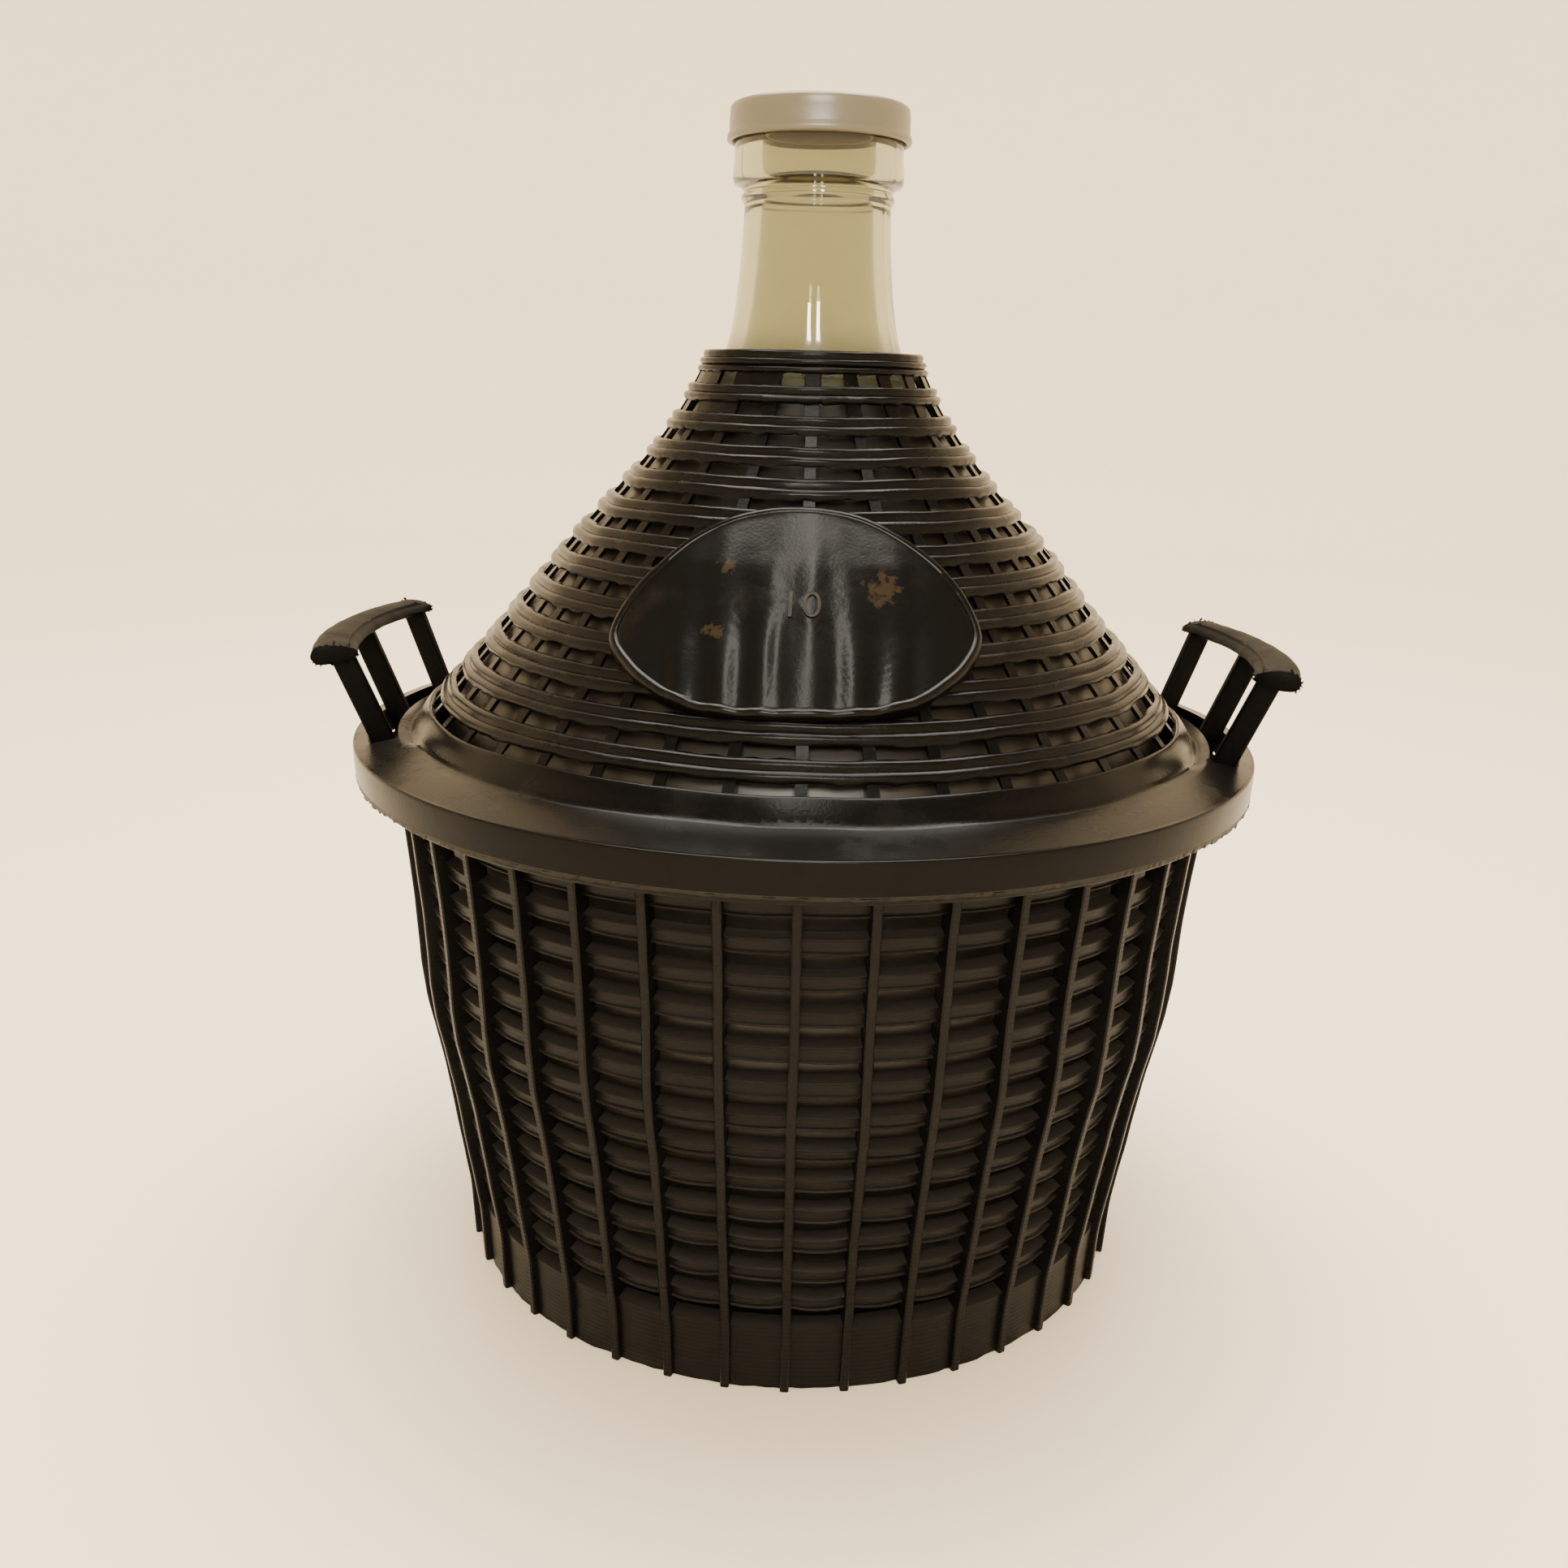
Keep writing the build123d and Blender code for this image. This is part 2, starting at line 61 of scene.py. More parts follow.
# %% Camera
pitch = math.radians(15.662)
turn = math.radians(-0.704)
lean = math.radians(1.4386)
forward = Vector((math.sin(turn) * math.cos(pitch), math.cos(turn) * math.cos(pitch), -math.sin(pitch)))
level = Vector((math.cos(turn), -math.sin(turn), 0))
upright = level.cross(forward)
right = math.cos(lean) * level + math.sin(lean) * upright
above = -math.sin(lean) * level + math.cos(lean) * upright
bpy.ops.object.camera_add()
camera = bpy.context.object
camera.name = "camera"
camera.data.sensor_width = 36
camera.data.lens = 33.53
camera.matrix_world = (Matrix.Translation((0, -0.5098, 0.3069))
                       @ Matrix((right, above, -forward)).transposed().to_4x4())
bpy.context.scene.camera = camera
print("camera", [round(v, 3) for v in camera.location], "lens", camera.data.lens)

# %% [markdown]
# ## Two helpers for turned shapes
# Nearly every piece here is a turned one. By hand one would draw half of the outline,
# corner by corner, and use Spin. `draw_outline` does that: a small plane is merged to one
# corner, which is then extruded from point to point. `spin_round` turns it about the
# upright axis and merges the seam.

# %% Outline and spin
def clear_selection():
    if bpy.context.object and bpy.context.object.mode != "OBJECT":
        bpy.ops.object.mode_set(mode="OBJECT")
    bpy.ops.object.select_all(action="DESELECT")


def draw_outline(name, points, close=False):
    clear_selection()
    bpy.ops.mesh.primitive_plane_add(size=MM)
    piece = bpy.context.object
    piece.name = name
    bpy.ops.object.mode_set(mode="EDIT")
    bpy.ops.mesh.merge(type="CENTER")
    corners = [Vector((r, 0, z)) * MM for r, z in points]
    bpy.ops.transform.translate(value=corners[0])
    for here, there in zip(corners, corners[1:]):
        bpy.ops.mesh.extrude_region_move(TRANSFORM_OT_translate={"value": there - here})
    if close:
        bpy.ops.object.mode_set(mode="OBJECT")
        piece.data.vertices[0].select = True
        bpy.ops.object.mode_set(mode="EDIT")
        bpy.ops.mesh.edge_face_add()
    bpy.ops.mesh.select_all(action="SELECT")
    return piece


def spin_round(piece, steps):
    bpy.ops.mesh.select_all(action="SELECT")
    bpy.ops.mesh.spin(steps=steps, angle=math.tau, center=(0, 0, 0), axis=(0, 0, 1))
    bpy.ops.mesh.select_all(action="SELECT")
    bpy.ops.mesh.remove_doubles(threshold=0.01 * MM)
    bpy.ops.mesh.normals_make_consistent(inside=False)
    bpy.ops.object.mode_set(mode="OBJECT")
    return piece


def arc(start, end, bulge, steps):
    """Points after start up to end, on a curve that swells to the left of the way by bulge."""
    along = Vector(end) - Vector(start)
    side = Vector((-along.y, along.x)).normalized() * bulge
    made = []
    for k in range(1, steps + 1):
        s = k / steps
        p = Vector(start) + along * s + side * (4 * s * (1 - s))
        made.append((p.x, p.y))
    return made


def places(piece):
    """All corners of a mesh in millimetres, as an array."""
    co = np.zeros(len(piece.data.vertices) * 3)
    piece.data.vertices.foreach_get("co", co)
    return co.reshape(-1, 3) / MM


def put(piece, co):
    piece.data.vertices.foreach_set("co", (co * MM).ravel())
    piece.data.update()


def apply_modifier(piece, kind, **settings):
    clear_selection()
    piece.select_set(True)
    bpy.context.view_layer.objects.active = piece
    modifier = piece.modifiers.new(kind, kind)
    for key, value in settings.items():
        setattr(modifier, key, value)
    bpy.ops.object.modifier_apply(modifier=modifier.name)


def smooth(piece, degrees=38):
    clear_selection()
    piece.select_set(True)
    bpy.context.view_layer.objects.active = piece
    bpy.ops.object.shade_smooth_by_angle(angle=math.radians(degrees))


def delete_faces(piece, chosen):
    clear_selection()
    bpy.context.view_layer.objects.active = piece
    piece.data.polygons.foreach_set("select", chosen)
    bpy.ops.object.mode_set(mode="EDIT")
    bpy.ops.mesh.select_mode(type="FACE")
    bpy.ops.object.mode_set(mode="OBJECT")
    piece.data.polygons.foreach_set("select", chosen)
    bpy.ops.object.mode_set(mode="EDIT")
    bpy.ops.mesh.delete(type="FACE")
    bpy.ops.mesh.select_mode(type="VERT")
    bpy.ops.object.mode_set(mode="OBJECT")


def face_centres(piece):
    co = np.zeros(len(piece.data.polygons) * 3)
    piece.data.polygons.foreach_get("center", co)
    return co.reshape(-1, 3) / MM


def wander(co, size, seed):
    """A smooth random value from -1 to 1 at each point, which changes over size millimetres."""
    return np.array([noise.noise(Vector(p) / size + Vector((seed, 2 * seed, 0))) for p in co])


def join(pieces, name):
    clear_selection()
    for piece in pieces:
        piece.select_set(True)
    bpy.context.view_layer.objects.active = pieces[0]
    bpy.ops.object.join()
    pieces[0].name = name
    pieces[0].data.name = name
    return pieces[0]


def report(piece):
    piece.data.calc_loop_triangles()
    size = places(piece)
    print(piece.name, len(piece.data.loop_triangles), "triangles, from",
          size.min(0).round(1), "to", size.max(0).round(1), "mm")


# %% [markdown]
# ## Sizes that pieces share
# These are the CAD sizes in millimetres. The cover's window rows lie on a slightly curved
# cone, and the basket's ribs follow a belly, so both are short tables.

# %% Shared sizes
flange_r = 155.0
basket_top = 176.2
flange_top = 187.1
collar_top = 314.4
rim_top = 388.1
row_count = 13
coarse_rows = 5
rib_count = 40
pitch_deg = 360 / rib_count
collar_r = 36.9
foot_r = 0.8753 * flange_r
foot_z = flange_top + 3.1
row_share = [0.034, 0.080, 0.143, 0.214, 0.295, 0.380, 0.465, 0.539, 0.613, 0.692, 0.770, 0.848, 0.926]
row_r = [collar_r + (foot_r - collar_r) * s for s in row_share]
row_z = list(np.linspace(collar_top - 8.3, foot_z + 8.5, row_count))
crest_share = [(0.0, 0.7813), (0.120, 0.7887), (0.261, 0.8140), (0.402, 0.8380), (0.490, 0.8573),
               (0.543, 0.8707), (0.613, 0.8800), (0.754, 0.8880), (0.894, 0.9027), (1.0, 0.9160)]


def crest(z):
    share = np.interp(z / basket_top, [s for s, _ in crest_share], [r for _, r in crest_share])
    return flange_r * share


def row_way(i):
    a, b = max(i - 1, 0), min(i + 1, row_count - 1)
    return Vector((row_r[b] - row_r[a], row_z[b] - row_z[a])).normalized()


def off_row(i, along, out):
    way = row_way(i)
    point = Vector((row_r[i], row_z[i])) + way * along + Vector((-way.y, way.x)) * out
    return (point.x, point.y)


print("window rows from r", round(row_r[0], 1), "to r", round(row_r[-1], 1))

# %% [markdown]
# ## The bottle
# A blown glass bottle has an outer and an inner skin. Both are drawn as one closed
# outline and turned, so that light bends at each skin as it does in real glass.
# A Screw modifier would do the same; Spin leaves a plain mesh that can be worked on.

# %% The bottle: outline and spin
from mathutils.geometry import interpolate_bezier


def curve_through(points, steps):
    """A smooth line through the points, steps to a span, with no span cut short."""
    pts = [Vector(p) for p in points]
    made = [tuple(pts[0])]
    for k in range(len(pts) - 1):
        before = pts[max(k - 1, 0)]
        after = pts[min(k + 2, len(pts) - 1)]
        h1 = pts[k] + (pts[k + 1] - before) / 6
        h2 = pts[k + 1] - (after - pts[k]) / 6
        for p in interpolate_bezier(pts[k], h1, h2, pts[k + 1], steps + 1)[1:]:
            made.append((p[0], p[1]))
    return made


outer_skin = [(99.0, 6.0), (103.6, 9.5), (107.6, 19.4), (112.0, 32.0), (115.5, 45.8), (118.6, 58.0),
              (120.6, 70.5),
              (125.0, 84.0), (126.7, 96.9), (128.3, 116.3), (128.0, 135.7), (127.4, 153.3), (125.9, 170.9),
              (122.0, 193.9), (108.5, 213.0), (93.6, 231.4), (79.2, 249.0), (62.5, 266.8), (54.2, 276.1),
              (46.9, 285.3), (40.1, 294.5), (34.6, 303.3), (29.5, 314.4), (26.8, 325.5), (24.9, 340.9),
              (24.0, 355.7)]
inner_skin = [(97.5, 9.8), (100.6, 12.5), (104.5, 20.0), (112.4, 46.6), (117.5, 71.2), (123.5, 97.4),
              (125.2, 116.4),
              (124.9, 135.6), (124.3, 153.1), (122.8, 170.5), (119.4, 192.3), (106.0, 210.9), (91.2, 229.3),
              (76.7, 247.0), (60.0, 264.8), (51.8, 274.0), (44.4, 283.3), (37.4, 292.7), (32.1, 301.8),
              (25.1, 312.5), (21.5, 324.5), (19.3, 340.4), (18.4, 355.7)]
finish_r = 27.3
ring_z = rim_top - 26.4
finish_z = rim_top - 22.7
mouth_r = 18.4
outline = [(0, 9.9), (40, 9.1), (78, 7.4), (94, 5.9)]
outline += curve_through(outer_skin, 3)
outline += [(24.0, ring_z - 2.2), (24.3, ring_z - 1.5), (24.9, ring_z - 0.7), (25.1, ring_z),
            (24.9, ring_z + 0.7),
            (24.4, ring_z + 1.4), (24.3, ring_z + 2.0), (24.9, finish_z - 0.6), (26.2, finish_z - 0.1)]
outline += [(27.2, finish_z + 0.4), (27.75, finish_z + 1.6), (27.85, finish_z + 3.0), (27.7, finish_z + 5.0),
            (27.4, finish_z + 8.0), (27.3, finish_z + 12.0), (27.2, rim_top - 6.0), (27.0, rim_top - 2.2),
            (26.7, rim_top - 1.1), (26.0, rim_top - 0.35), (24.8, rim_top), (22.0, rim_top), (19.8, rim_top),
            (mouth_r + 0.4, rim_top - 0.4), (mouth_r, rim_top - 1.4), (mouth_r, rim_top - 10.0),
            (mouth_r, rim_top - 20.0)]
outline += list(reversed(curve_through(inner_skin, 3)))
outline += [(84, 11.1), (60, 12.1), (30, 13.4), (0, 13.9)]
bottle = draw_outline("bottle", outline)
bottle = spin_round(bottle, 144)
co = places(bottle)
spread = np.hypot(co[:, 0], co[:, 1])
azimuth = np.degrees(np.arctan2(co[:, 1], co[:, 0]))
outside = np.array([r > np.interp(z, [z for _, z in inner_skin], [r for r, _ in inner_skin]) + 1.2
                    for r, z in zip(spread, co[:, 2])])
# the two halves of the mould leave a fine raised line up each side
for seam in (-28.0, 152.0):
    apart = (azimuth - seam + 180) % 360 - 180
    line = (0.28 * np.exp(-(apart * spread / 57.3 / 0.7) ** 2) * outside
            * (co[:, 2] < rim_top - 3) * (co[:, 2] > 60))
    co[:, :2] *= (1 + line / np.maximum(spread, 1))[:, None]
# blown glass is never quite round
swell = wander(co, 34, 3) * 0.30 + wander(co, 12, 5) * 0.06
swell *= np.clip((co[:, 2] - 20) / 30, 0, 1) * np.clip((rim_top - 12 - co[:, 2]) / 20, 0, 1)
co[:, :2] *= (1 + swell / np.maximum(spread, 8))[:, None]
put(bottle, co)
smooth(bottle, 50)
report(bottle)
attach(bottle, "bottle")
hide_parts("glass_demijohn")

# %% [markdown]
# ## The cap
# The cap is thin polyethylene: a disc with a skirt that flares into a small bead, and a
# ring underneath that plugs the mouth. Its edge is round because it is moulded and worn.

# %% The cap
cap_top = rim_top + 2.0
cap_low = rim_top - 9.5
cap_outline = [(0, cap_top - 0.5), (9, cap_top - 0.5), (17.5, cap_top - 0.45), (18.2, cap_top - 0.2),
               (18.9, cap_top - 0.06),
               (24.0, cap_top - 0.03), (26.6, cap_top - 0.05)]
cap_outline += [(27.6, cap_top - 0.22), (28.3, cap_top - 0.6), (28.75, cap_top - 1.2), (28.95, cap_top - 2.0)]
cap_outline += [(29.05, cap_top - 4.0), (29.15, cap_low + 3.6), (29.3, cap_low + 2.7), (29.6, cap_low + 2.2),
                (29.82, cap_low + 1.6), (29.82, cap_low + 0.7), (29.6, cap_low + 0.2), (29.2, cap_low),
                (28.3, cap_low), (27.9, cap_low + 0.5), (27.72, cap_low + 1.4), (27.7, rim_top - 1.0),
                (27.5, rim_top + 0.2),
                (27.0, rim_top + 0.4), (18.1, rim_top + 0.4), (18.0, rim_top), (18.0, rim_top - 6.6),
                (17.3, rim_top - 8.6),
                (16.5, rim_top - 8.6), (16.3, rim_top - 6.0), (16.25, rim_top + 0.2), (15.9, rim_top + 0.4),
                (0, rim_top + 0.4)]
cap = draw_outline("cap", cap_outline)
cap = spin_round(cap, 128)
co = places(cap)
co[:, 2] += wander(co, 14, 9) * 0.10 * (co[:, 2] < cap_top - 0.3)
co[:, :2] *= (1 + wander(co, 16, 7) * 0.0035)[:, None]
put(cap, co)
smooth(cap, 45)
report(cap)
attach(cap, "cap")
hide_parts("snap_cap")

# %% [markdown]
# ## The cover
# The cover is one thin moulding. Its outline steps down the cone in bands of two round
# beads, with a flat strip between bands. After the spin, the faces of each strip are
# deleted between the straps, which leaves the windows, and Solidify gives the wall.
# The windows could be cut with Booleans instead, but that is slow and leaves poor shading.

# %% The cover: outline
bead = 1.55
slant = 4.0
strips = [(off_row(i, -slant / 2, -bead), off_row(i, slant / 2, -bead)) for i in range(row_count)]
outline = [(collar_r - 2.0 - 0.9, collar_top - 0.5), (collar_r - 2.0, collar_top)]
start, stop = Vector((collar_r - 0.9, collar_top)), Vector(strips[0][0])
for k in range(3):
    there = start.lerp(stop, (k + 1) / 3)
    outline += arc(outline[-1], (there.x, there.y), 1.0, 6)
for i in range(row_count):
    upper, lower = strips[i]
    outline += [lower]
    if i < row_count - 1:
        nxt = strips[i + 1][0]
        groove = arc(lower, nxt, 0.6, 2)[0]
        outline += arc(lower, groove, 1.3, 4)
        outline += arc(groove, nxt, 1.3, 4)
outline += [off_row(12, slant / 2, -0.5), off_row(12, slant / 2 + 0.3, -0.05),
            off_row(12, slant / 2 + 0.9, 0.15)]
edge = Vector(outline[-1])
shoulder_end = Vector((foot_r - 0.9, foot_z + 0.75))
for k in range(1, 5):
    p = edge.lerp(shoulder_end, k / 4)
    outline.append((p.x, p.y + 0.25 * math.sin(k / 4 * math.pi)))


def on_flange(r):
    """The flange falls in a straight line from the foot of the cone to its outer edge."""
    return (r, foot_z - 0.35 - (r - foot_r - 0.4) * 0.155)


slot_in, slot_out = 140.3, 150.15
outline += [(foot_r - 0.25, foot_z + 0.2), on_flange(foot_r + 0.4), on_flange(foot_r + 1.6)]
outline += [on_flange(slot_in + d) for d in (0, 0.5, 1.4, 3.0)] + [on_flange(145.2)]
outline += [on_flange(slot_out - d) for d in (3.0, 1.4, 0.5, 0)]
outline += [on_flange(flange_r - 1.6), on_flange(flange_r - 0.95), (flange_r - 0.6, flange_top - 0.02),
            (flange_r - 0.25, flange_top - 0.1), (flange_r - 0.04, flange_top - 0.4),
            (flange_r, flange_top - 1.1), (flange_r - 0.05, flange_top - 4.2),
            (flange_r - 0.2, flange_top - 7.0), (flange_r - 0.35, flange_top - 9.4),
            (flange_r - 0.4, basket_top + 0.4)]
print("cover outline has", len(outline), "corners")
cover = draw_outline("cover", outline)
cells = 5
cover = spin_round(cover, rib_count * cells)

# %% The cover: windows between straps
strap_mm = 3.5
co = places(cover)
centres = face_centres(cover)
centre_r = np.hypot(centres[:, 0], centres[:, 1]) / math.cos(math.pi / (rib_count * cells))
column = np.round(np.degrees(np.arctan2(centres[:, 1], centres[:, 0]))
                  / (pitch_deg / cells) - 0.5).astype(int)
column %= rib_count * cells
gap = np.zeros(len(centres), bool)
webbed = {(0, 22), (0, 23), (0, 26), (0, 27), (1, 24), (1, 25)}   # windows that flash has closed
for i in range(row_count):
    a, b = Vector(strips[i][0]), Vector(strips[i][1])
    mid = (a + b) / 2
    way = (b - a).normalized()
    along = (centre_r - mid.x) * way.x + (centres[:, 2] - mid.y) * way.y
    out = (centre_r - mid.x) * -way.y + (centres[:, 2] - mid.y) * way.x
    here = (np.abs(along) < slant / 2 - 0.3) & (np.abs(out) < 0.4)
    cell, part = column // cells, column % cells
    strap_cell = cell % 2 == 1 if i < coarse_rows else np.ones(len(cell), bool)
    window = here & ~((part == cells - 1) & strap_cell)
    for row, flashed in webbed:
        if row == i:
            window &= cell != flashed
    gap |= window
slot_columns = [(k + half) % 200 for half in (0, 100) for k in range(-13, 12)]
gap |= (np.isin(column, slot_columns) & (centre_r > slot_in + 0.1) & (centre_r < slot_out - 0.1)
        & (centres[:, 2] > flange_top - 1))
print("faces to open", int(gap.sum()), "of", len(gap))


# %% The cover: parallel straps, handle slots and moulding faults
def strap_half_angle(r, z):
    width = np.where(z > (row_z[1] + row_z[2]) / 2, 1.3 * strap_mm, strap_mm)
    return np.degrees(width / 2 / r)


def turn_to(co, degrees):
    r = np.hypot(co[:, 0], co[:, 1])
    co[:, 0] = r * np.cos(np.radians(degrees))
    co[:, 1] = r * np.sin(np.radians(degrees))


def side_angle(degrees):
    """Angle from the nearer of the two handles, from -90 to 90."""
    return (degrees + 90) % 180 - 90


r = np.hypot(co[:, 0], co[:, 1])
z = co[:, 2]
line = (np.round(np.degrees(np.arctan2(co[:, 1], co[:, 0])) / (pitch_deg / cells)).astype(int)
        % (rib_count * cells))
w = strap_half_angle(r, z)
angle = line // cells * pitch_deg + w + line % cells * (pitch_deg - 2 * w) / (cells - 1)
from_handle = side_angle(angle)
away = np.abs(from_handle)
wanted = np.interp(away, [0, 20.64, 22.5, 24.36, 30, 36, 90], [0, 18.0, 19.6, 21.4, 28.4, 36, 90])
share = np.clip((r - foot_r) / 2.0, 0, 1)
angle += np.sign(from_handle) * (wanted - away) * share
into = np.minimum(r - slot_in, slot_out - r)
corner = np.where(into >= 0, 3 - np.sqrt(np.clip(9 - (3 - np.clip(into, 0, 3)) ** 2, 0, 9)),
                  np.clip(3 + 2 * into, 0, 3))
end_line = (np.abs(away - 22.5) < 0.3) & (r > foot_r + 1) & (z > flange_top - 1)
angle -= np.sign(from_handle) * np.degrees(corner / r) * end_line
turn_to(co, angle)
# the moulding is scooped away round each handle
scoop = np.clip((27.5 - np.abs(side_angle(angle))) / 6.0, 0, 1)
scoop = scoop * scoop * (3 - 2 * scoop)
co[:, 2] -= 1.5 * scoop * np.exp(-((r - 135.6) / 2.4) ** 2)
# rough window edges
for i in range(row_count):
    for end, sign in ((0, -1), (1, 1)):
        at = strips[i][end]
        on_edge = (np.abs(r - at[0]) < 0.02) & (np.abs(z - at[1]) < 0.02)
        way = row_way(i)
        for k in np.flatnonzero(on_edge):
            slide = chance.uniform(-0.45, 0.30)
            out = Vector((co[k, 0], co[k, 1])).normalized()
            co[k] += np.array((out.x * way.x, out.y * way.x, way.y)) * slide * -sign
# bands sag a little between straps, and the whole cone is slightly uneven
uneven = np.clip((r - collar_r) / 20, 0.35, 1) * (r < foot_r + 2)
co[:, 2] += wander(co, 26, 21) * 0.55 * uneven
co[:, :2] *= (1 + wander(co, 19, 22) * 0.5 * uneven / r)[:, None]
co[:, 2] += wander(co, 7, 23) * 0.14 * (r < foot_r - 4)
low = z < basket_top + 0.6
co[low, 2] += np.array([chance.uniform(-0.25, 0.3) for _ in range(int(low.sum()))])
put(cover, co)
delete_faces(cover, gap)
outer_count = len(cover.data.vertices)
apply_modifier(cover, "SOLIDIFY", thickness=1.6 * MM, offset=-1, bevel_convex=1.0)
# only the lower outer edge of each window is rounded: it is the one that catches the light
co = places(cover)
section = np.stack((np.hypot(co[:, 0], co[:, 1]), co[:, 2]), 1)
from_upper = np.min([np.linalg.norm(section - np.array(upper), axis=1) for upper, lower in strips], axis=0)
from_lower = np.min([np.linalg.norm(section - np.array(lower), axis=1) for upper, lower in strips], axis=0)
for e, weight in zip(cover.data.edges, cover.data.attributes["bevel_weight_edge"].data):
    a, b = e.vertices
    if max(a, b) >= outer_count or abs(co[a, 2] - co[b, 2]) > 0.9 or from_upper[a] < from_lower[a]:
        weight.value = 0
apply_modifier(cover, "BEVEL", width=0.28 * MM, segments=1, limit_method="WEIGHT")
smooth(cover, 42)
report(cover)
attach(cover, "cage")
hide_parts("cover")

# %% The cover: ragged flash under the skirt
lip = draw_outline("skirt_flash",
                   [(flange_r - 0.9, basket_top + 1.4), (flange_r - 0.35, basket_top + 0.9),
                    (flange_r - 0.5, basket_top + 0.1)])
lip = spin_round(lip, 720)
co = places(lip)
edge = co[:, 2] < basket_top + 0.3
around = np.degrees(np.arctan2(co[:, 1], co[:, 0]))
torn = 0.35 + 0.65 * np.clip(np.abs(np.cos(np.radians(around))) * 1.3 - 0.25, 0, 1)
for k in np.flatnonzero(edge):
    rough = 0.5 + 0.5 * noise.noise(Vector(co[k]) / 3.0) + chance.uniform(-0.25, 0.25)
    co[k, 2] -= 1.7 * torn[k] * max(0, rough)
    co[k, :2] *= 1 + 0.35 * torn[k] * chance.uniform(-0.6, 0.8) / flange_r
put(lip, co)
apply_modifier(lip, "SOLIDIFY", thickness=0.25 * MM, offset=-1)
report(lip)
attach(lip, "cage")

# %% [markdown]
# ## The oval plate
# The plate is an egg-shaped patch that follows the cone, with a raised rim. It starts as a
# circle of edges that is extruded and scaled inwards, ring by ring. Each ring is then laid
# on the cone: a point slides square to the plate until it meets the cone's surface.

# %% The plate
plate_outline = [(0.0, 0.872), (0.313, 0.828), (0.556, 0.680), (0.750, 0.489), (0.898, 0.240),
                 (0.977, -0.090),
                 (0.902, -0.400), (0.783, -0.623), (0.667, -0.775), (0.531, -0.876), (0.351, -0.955),
                 (0.06, -0.996),
                 (-0.234, -0.988), (-0.466, -0.930), (-0.587, -0.853), (-0.713, -0.729), (-0.861, -0.518),
                 (-0.984, -0.187), (-0.899, 0.175), (-0.739, 0.440), (-0.554, 0.664), (-0.315, 0.817)]
plate_u, plate_v = 55.2, 37.2
plate_turn = math.radians(268)
loop = [Vector((u * plate_u, v * plate_v)) for u, v in plate_outline]
span_points = 7
fine = []
for k in range(len(loop)):
    a, b, c, d = (loop[(k + m) % len(loop)] for m in (-1, 0, 1, 2))
    for p in interpolate_bezier(b, b + (c - a) / 6, c - (d - b) / 6, c, span_points)[:-1]:
        fine.append(Vector(p))
clear_selection()
bpy.ops.mesh.primitive_circle_add(vertices=len(fine), radius=plate_u * MM, fill_type="NOTHING")
plate = bpy.context.object
plate.name = "label_plate"
for vertex, p in zip(plate.data.vertices, fine):
    vertex.co = (p.x * MM, p.y * MM, 0)
bpy.ops.object.mode_set(mode="EDIT")
bpy.ops.mesh.select_all(action="SELECT")
ring_scale = [0.997, 0.990, 0.984, 0.977, 0.970, 0.955, 0.935, 0.91, 0.88, 0.84, 0.80, 0.75, 0.70, 0.64,
              0.58, 0.52,
              0.46, 0.40, 0.34, 0.28, 0.22, 0.16, 0.10, 0.05]
ring_high = [-0.5, 0.55, 0.75, 0.70, 0.28, 0.08, 0.03] + [0.0] * 30
now = 1.0
for scale in ring_scale:
    bpy.ops.mesh.extrude_edges_move()
    bpy.ops.transform.resize(value=(scale / now, scale / now, 1), center_override=(0, 0, 0))
    now = scale
bpy.ops.mesh.merge(type="CENTER")
bpy.ops.mesh.select_all(action="SELECT")
bpy.ops.mesh.normals_make_consistent(inside=False)
bpy.ops.object.mode_set(mode="OBJECT")
flat = places(plate)
per = len(fine)
order = [1.0] + ring_scale
level = np.array([order[k // per] if k // per < len(order) else 0.0 for k in range(len(flat))])
high = np.interp(-level, [-s for s in order], [-2.2] + ring_high[:len(ring_scale)])
middle = Vector((row_r[7], 0, row_z[7]))
slope = row_way(7)
upward = Vector((-slope.x, 0, -slope.y))
outward = Vector((-slope.y, 0, slope.x))
cone_r = list(reversed(row_r))
cone_z = list(reversed(row_z))


square_share = 0.77     # of a level distance, the share that is square to the cone


def lay_on_cone(u, v, height):
    base = middle + upward * v + Vector((0, u, 0))
    low, high = -40.0, 30.0
    for _ in range(30):
        mid = (low + high) / 2
        p = base + outward * mid
        square = square_share * (math.hypot(p.x, p.y) - np.interp(p.z, cone_z, cone_r))
        if square > height:
            high = mid
        else:
            low = mid
    return p


def on_plate(u, v, height):
    fade = min(1, max(0.12, (24 - v) / 40)) * min(1, max(0.2, (46 - abs(u)) / 20))
    wave = math.cos(math.tau * (u - 4) / 12.3 + 1.8 * noise.noise(Vector((u / 11.0, v / 60.0, 2.0))))
    ripple = 0.46 * wave + 0.60 * noise.noise(Vector((u / 9.0, v / 55.0, 8.0)))
    ripple = ripple * fade + 0.05 * noise.noise(Vector((u / 2.5, v / 2.5, 5.0)))
    p = lay_on_cone(u, v, height + ripple)
    return Matrix.Rotation(plate_turn, 3, "Z") @ p


plate_lift = 0.35      # underside of the plate above the cone
plate_thick = 1.2
put(plate, np.array([on_plate(p[0], p[1], h + plate_lift) for p, h in zip(flat, high)]))
# the sheet faces the cone here, so Solidify builds its thickness outwards
apply_modifier(plate, "SOLIDIFY", thickness=plate_thick * MM, offset=-1)
smooth(plate, 50)
report(plate)
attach(plate, "cage")

# %% [markdown]
# ## The figures on the plate
# The plate states how much the bottle holds, in low raised figures. They are typed as text
# and made a mesh, and then every corner is laid on the plate in the way the plate was laid
# on the cone. They must stand on the plate's outer face, so its thickness is added.

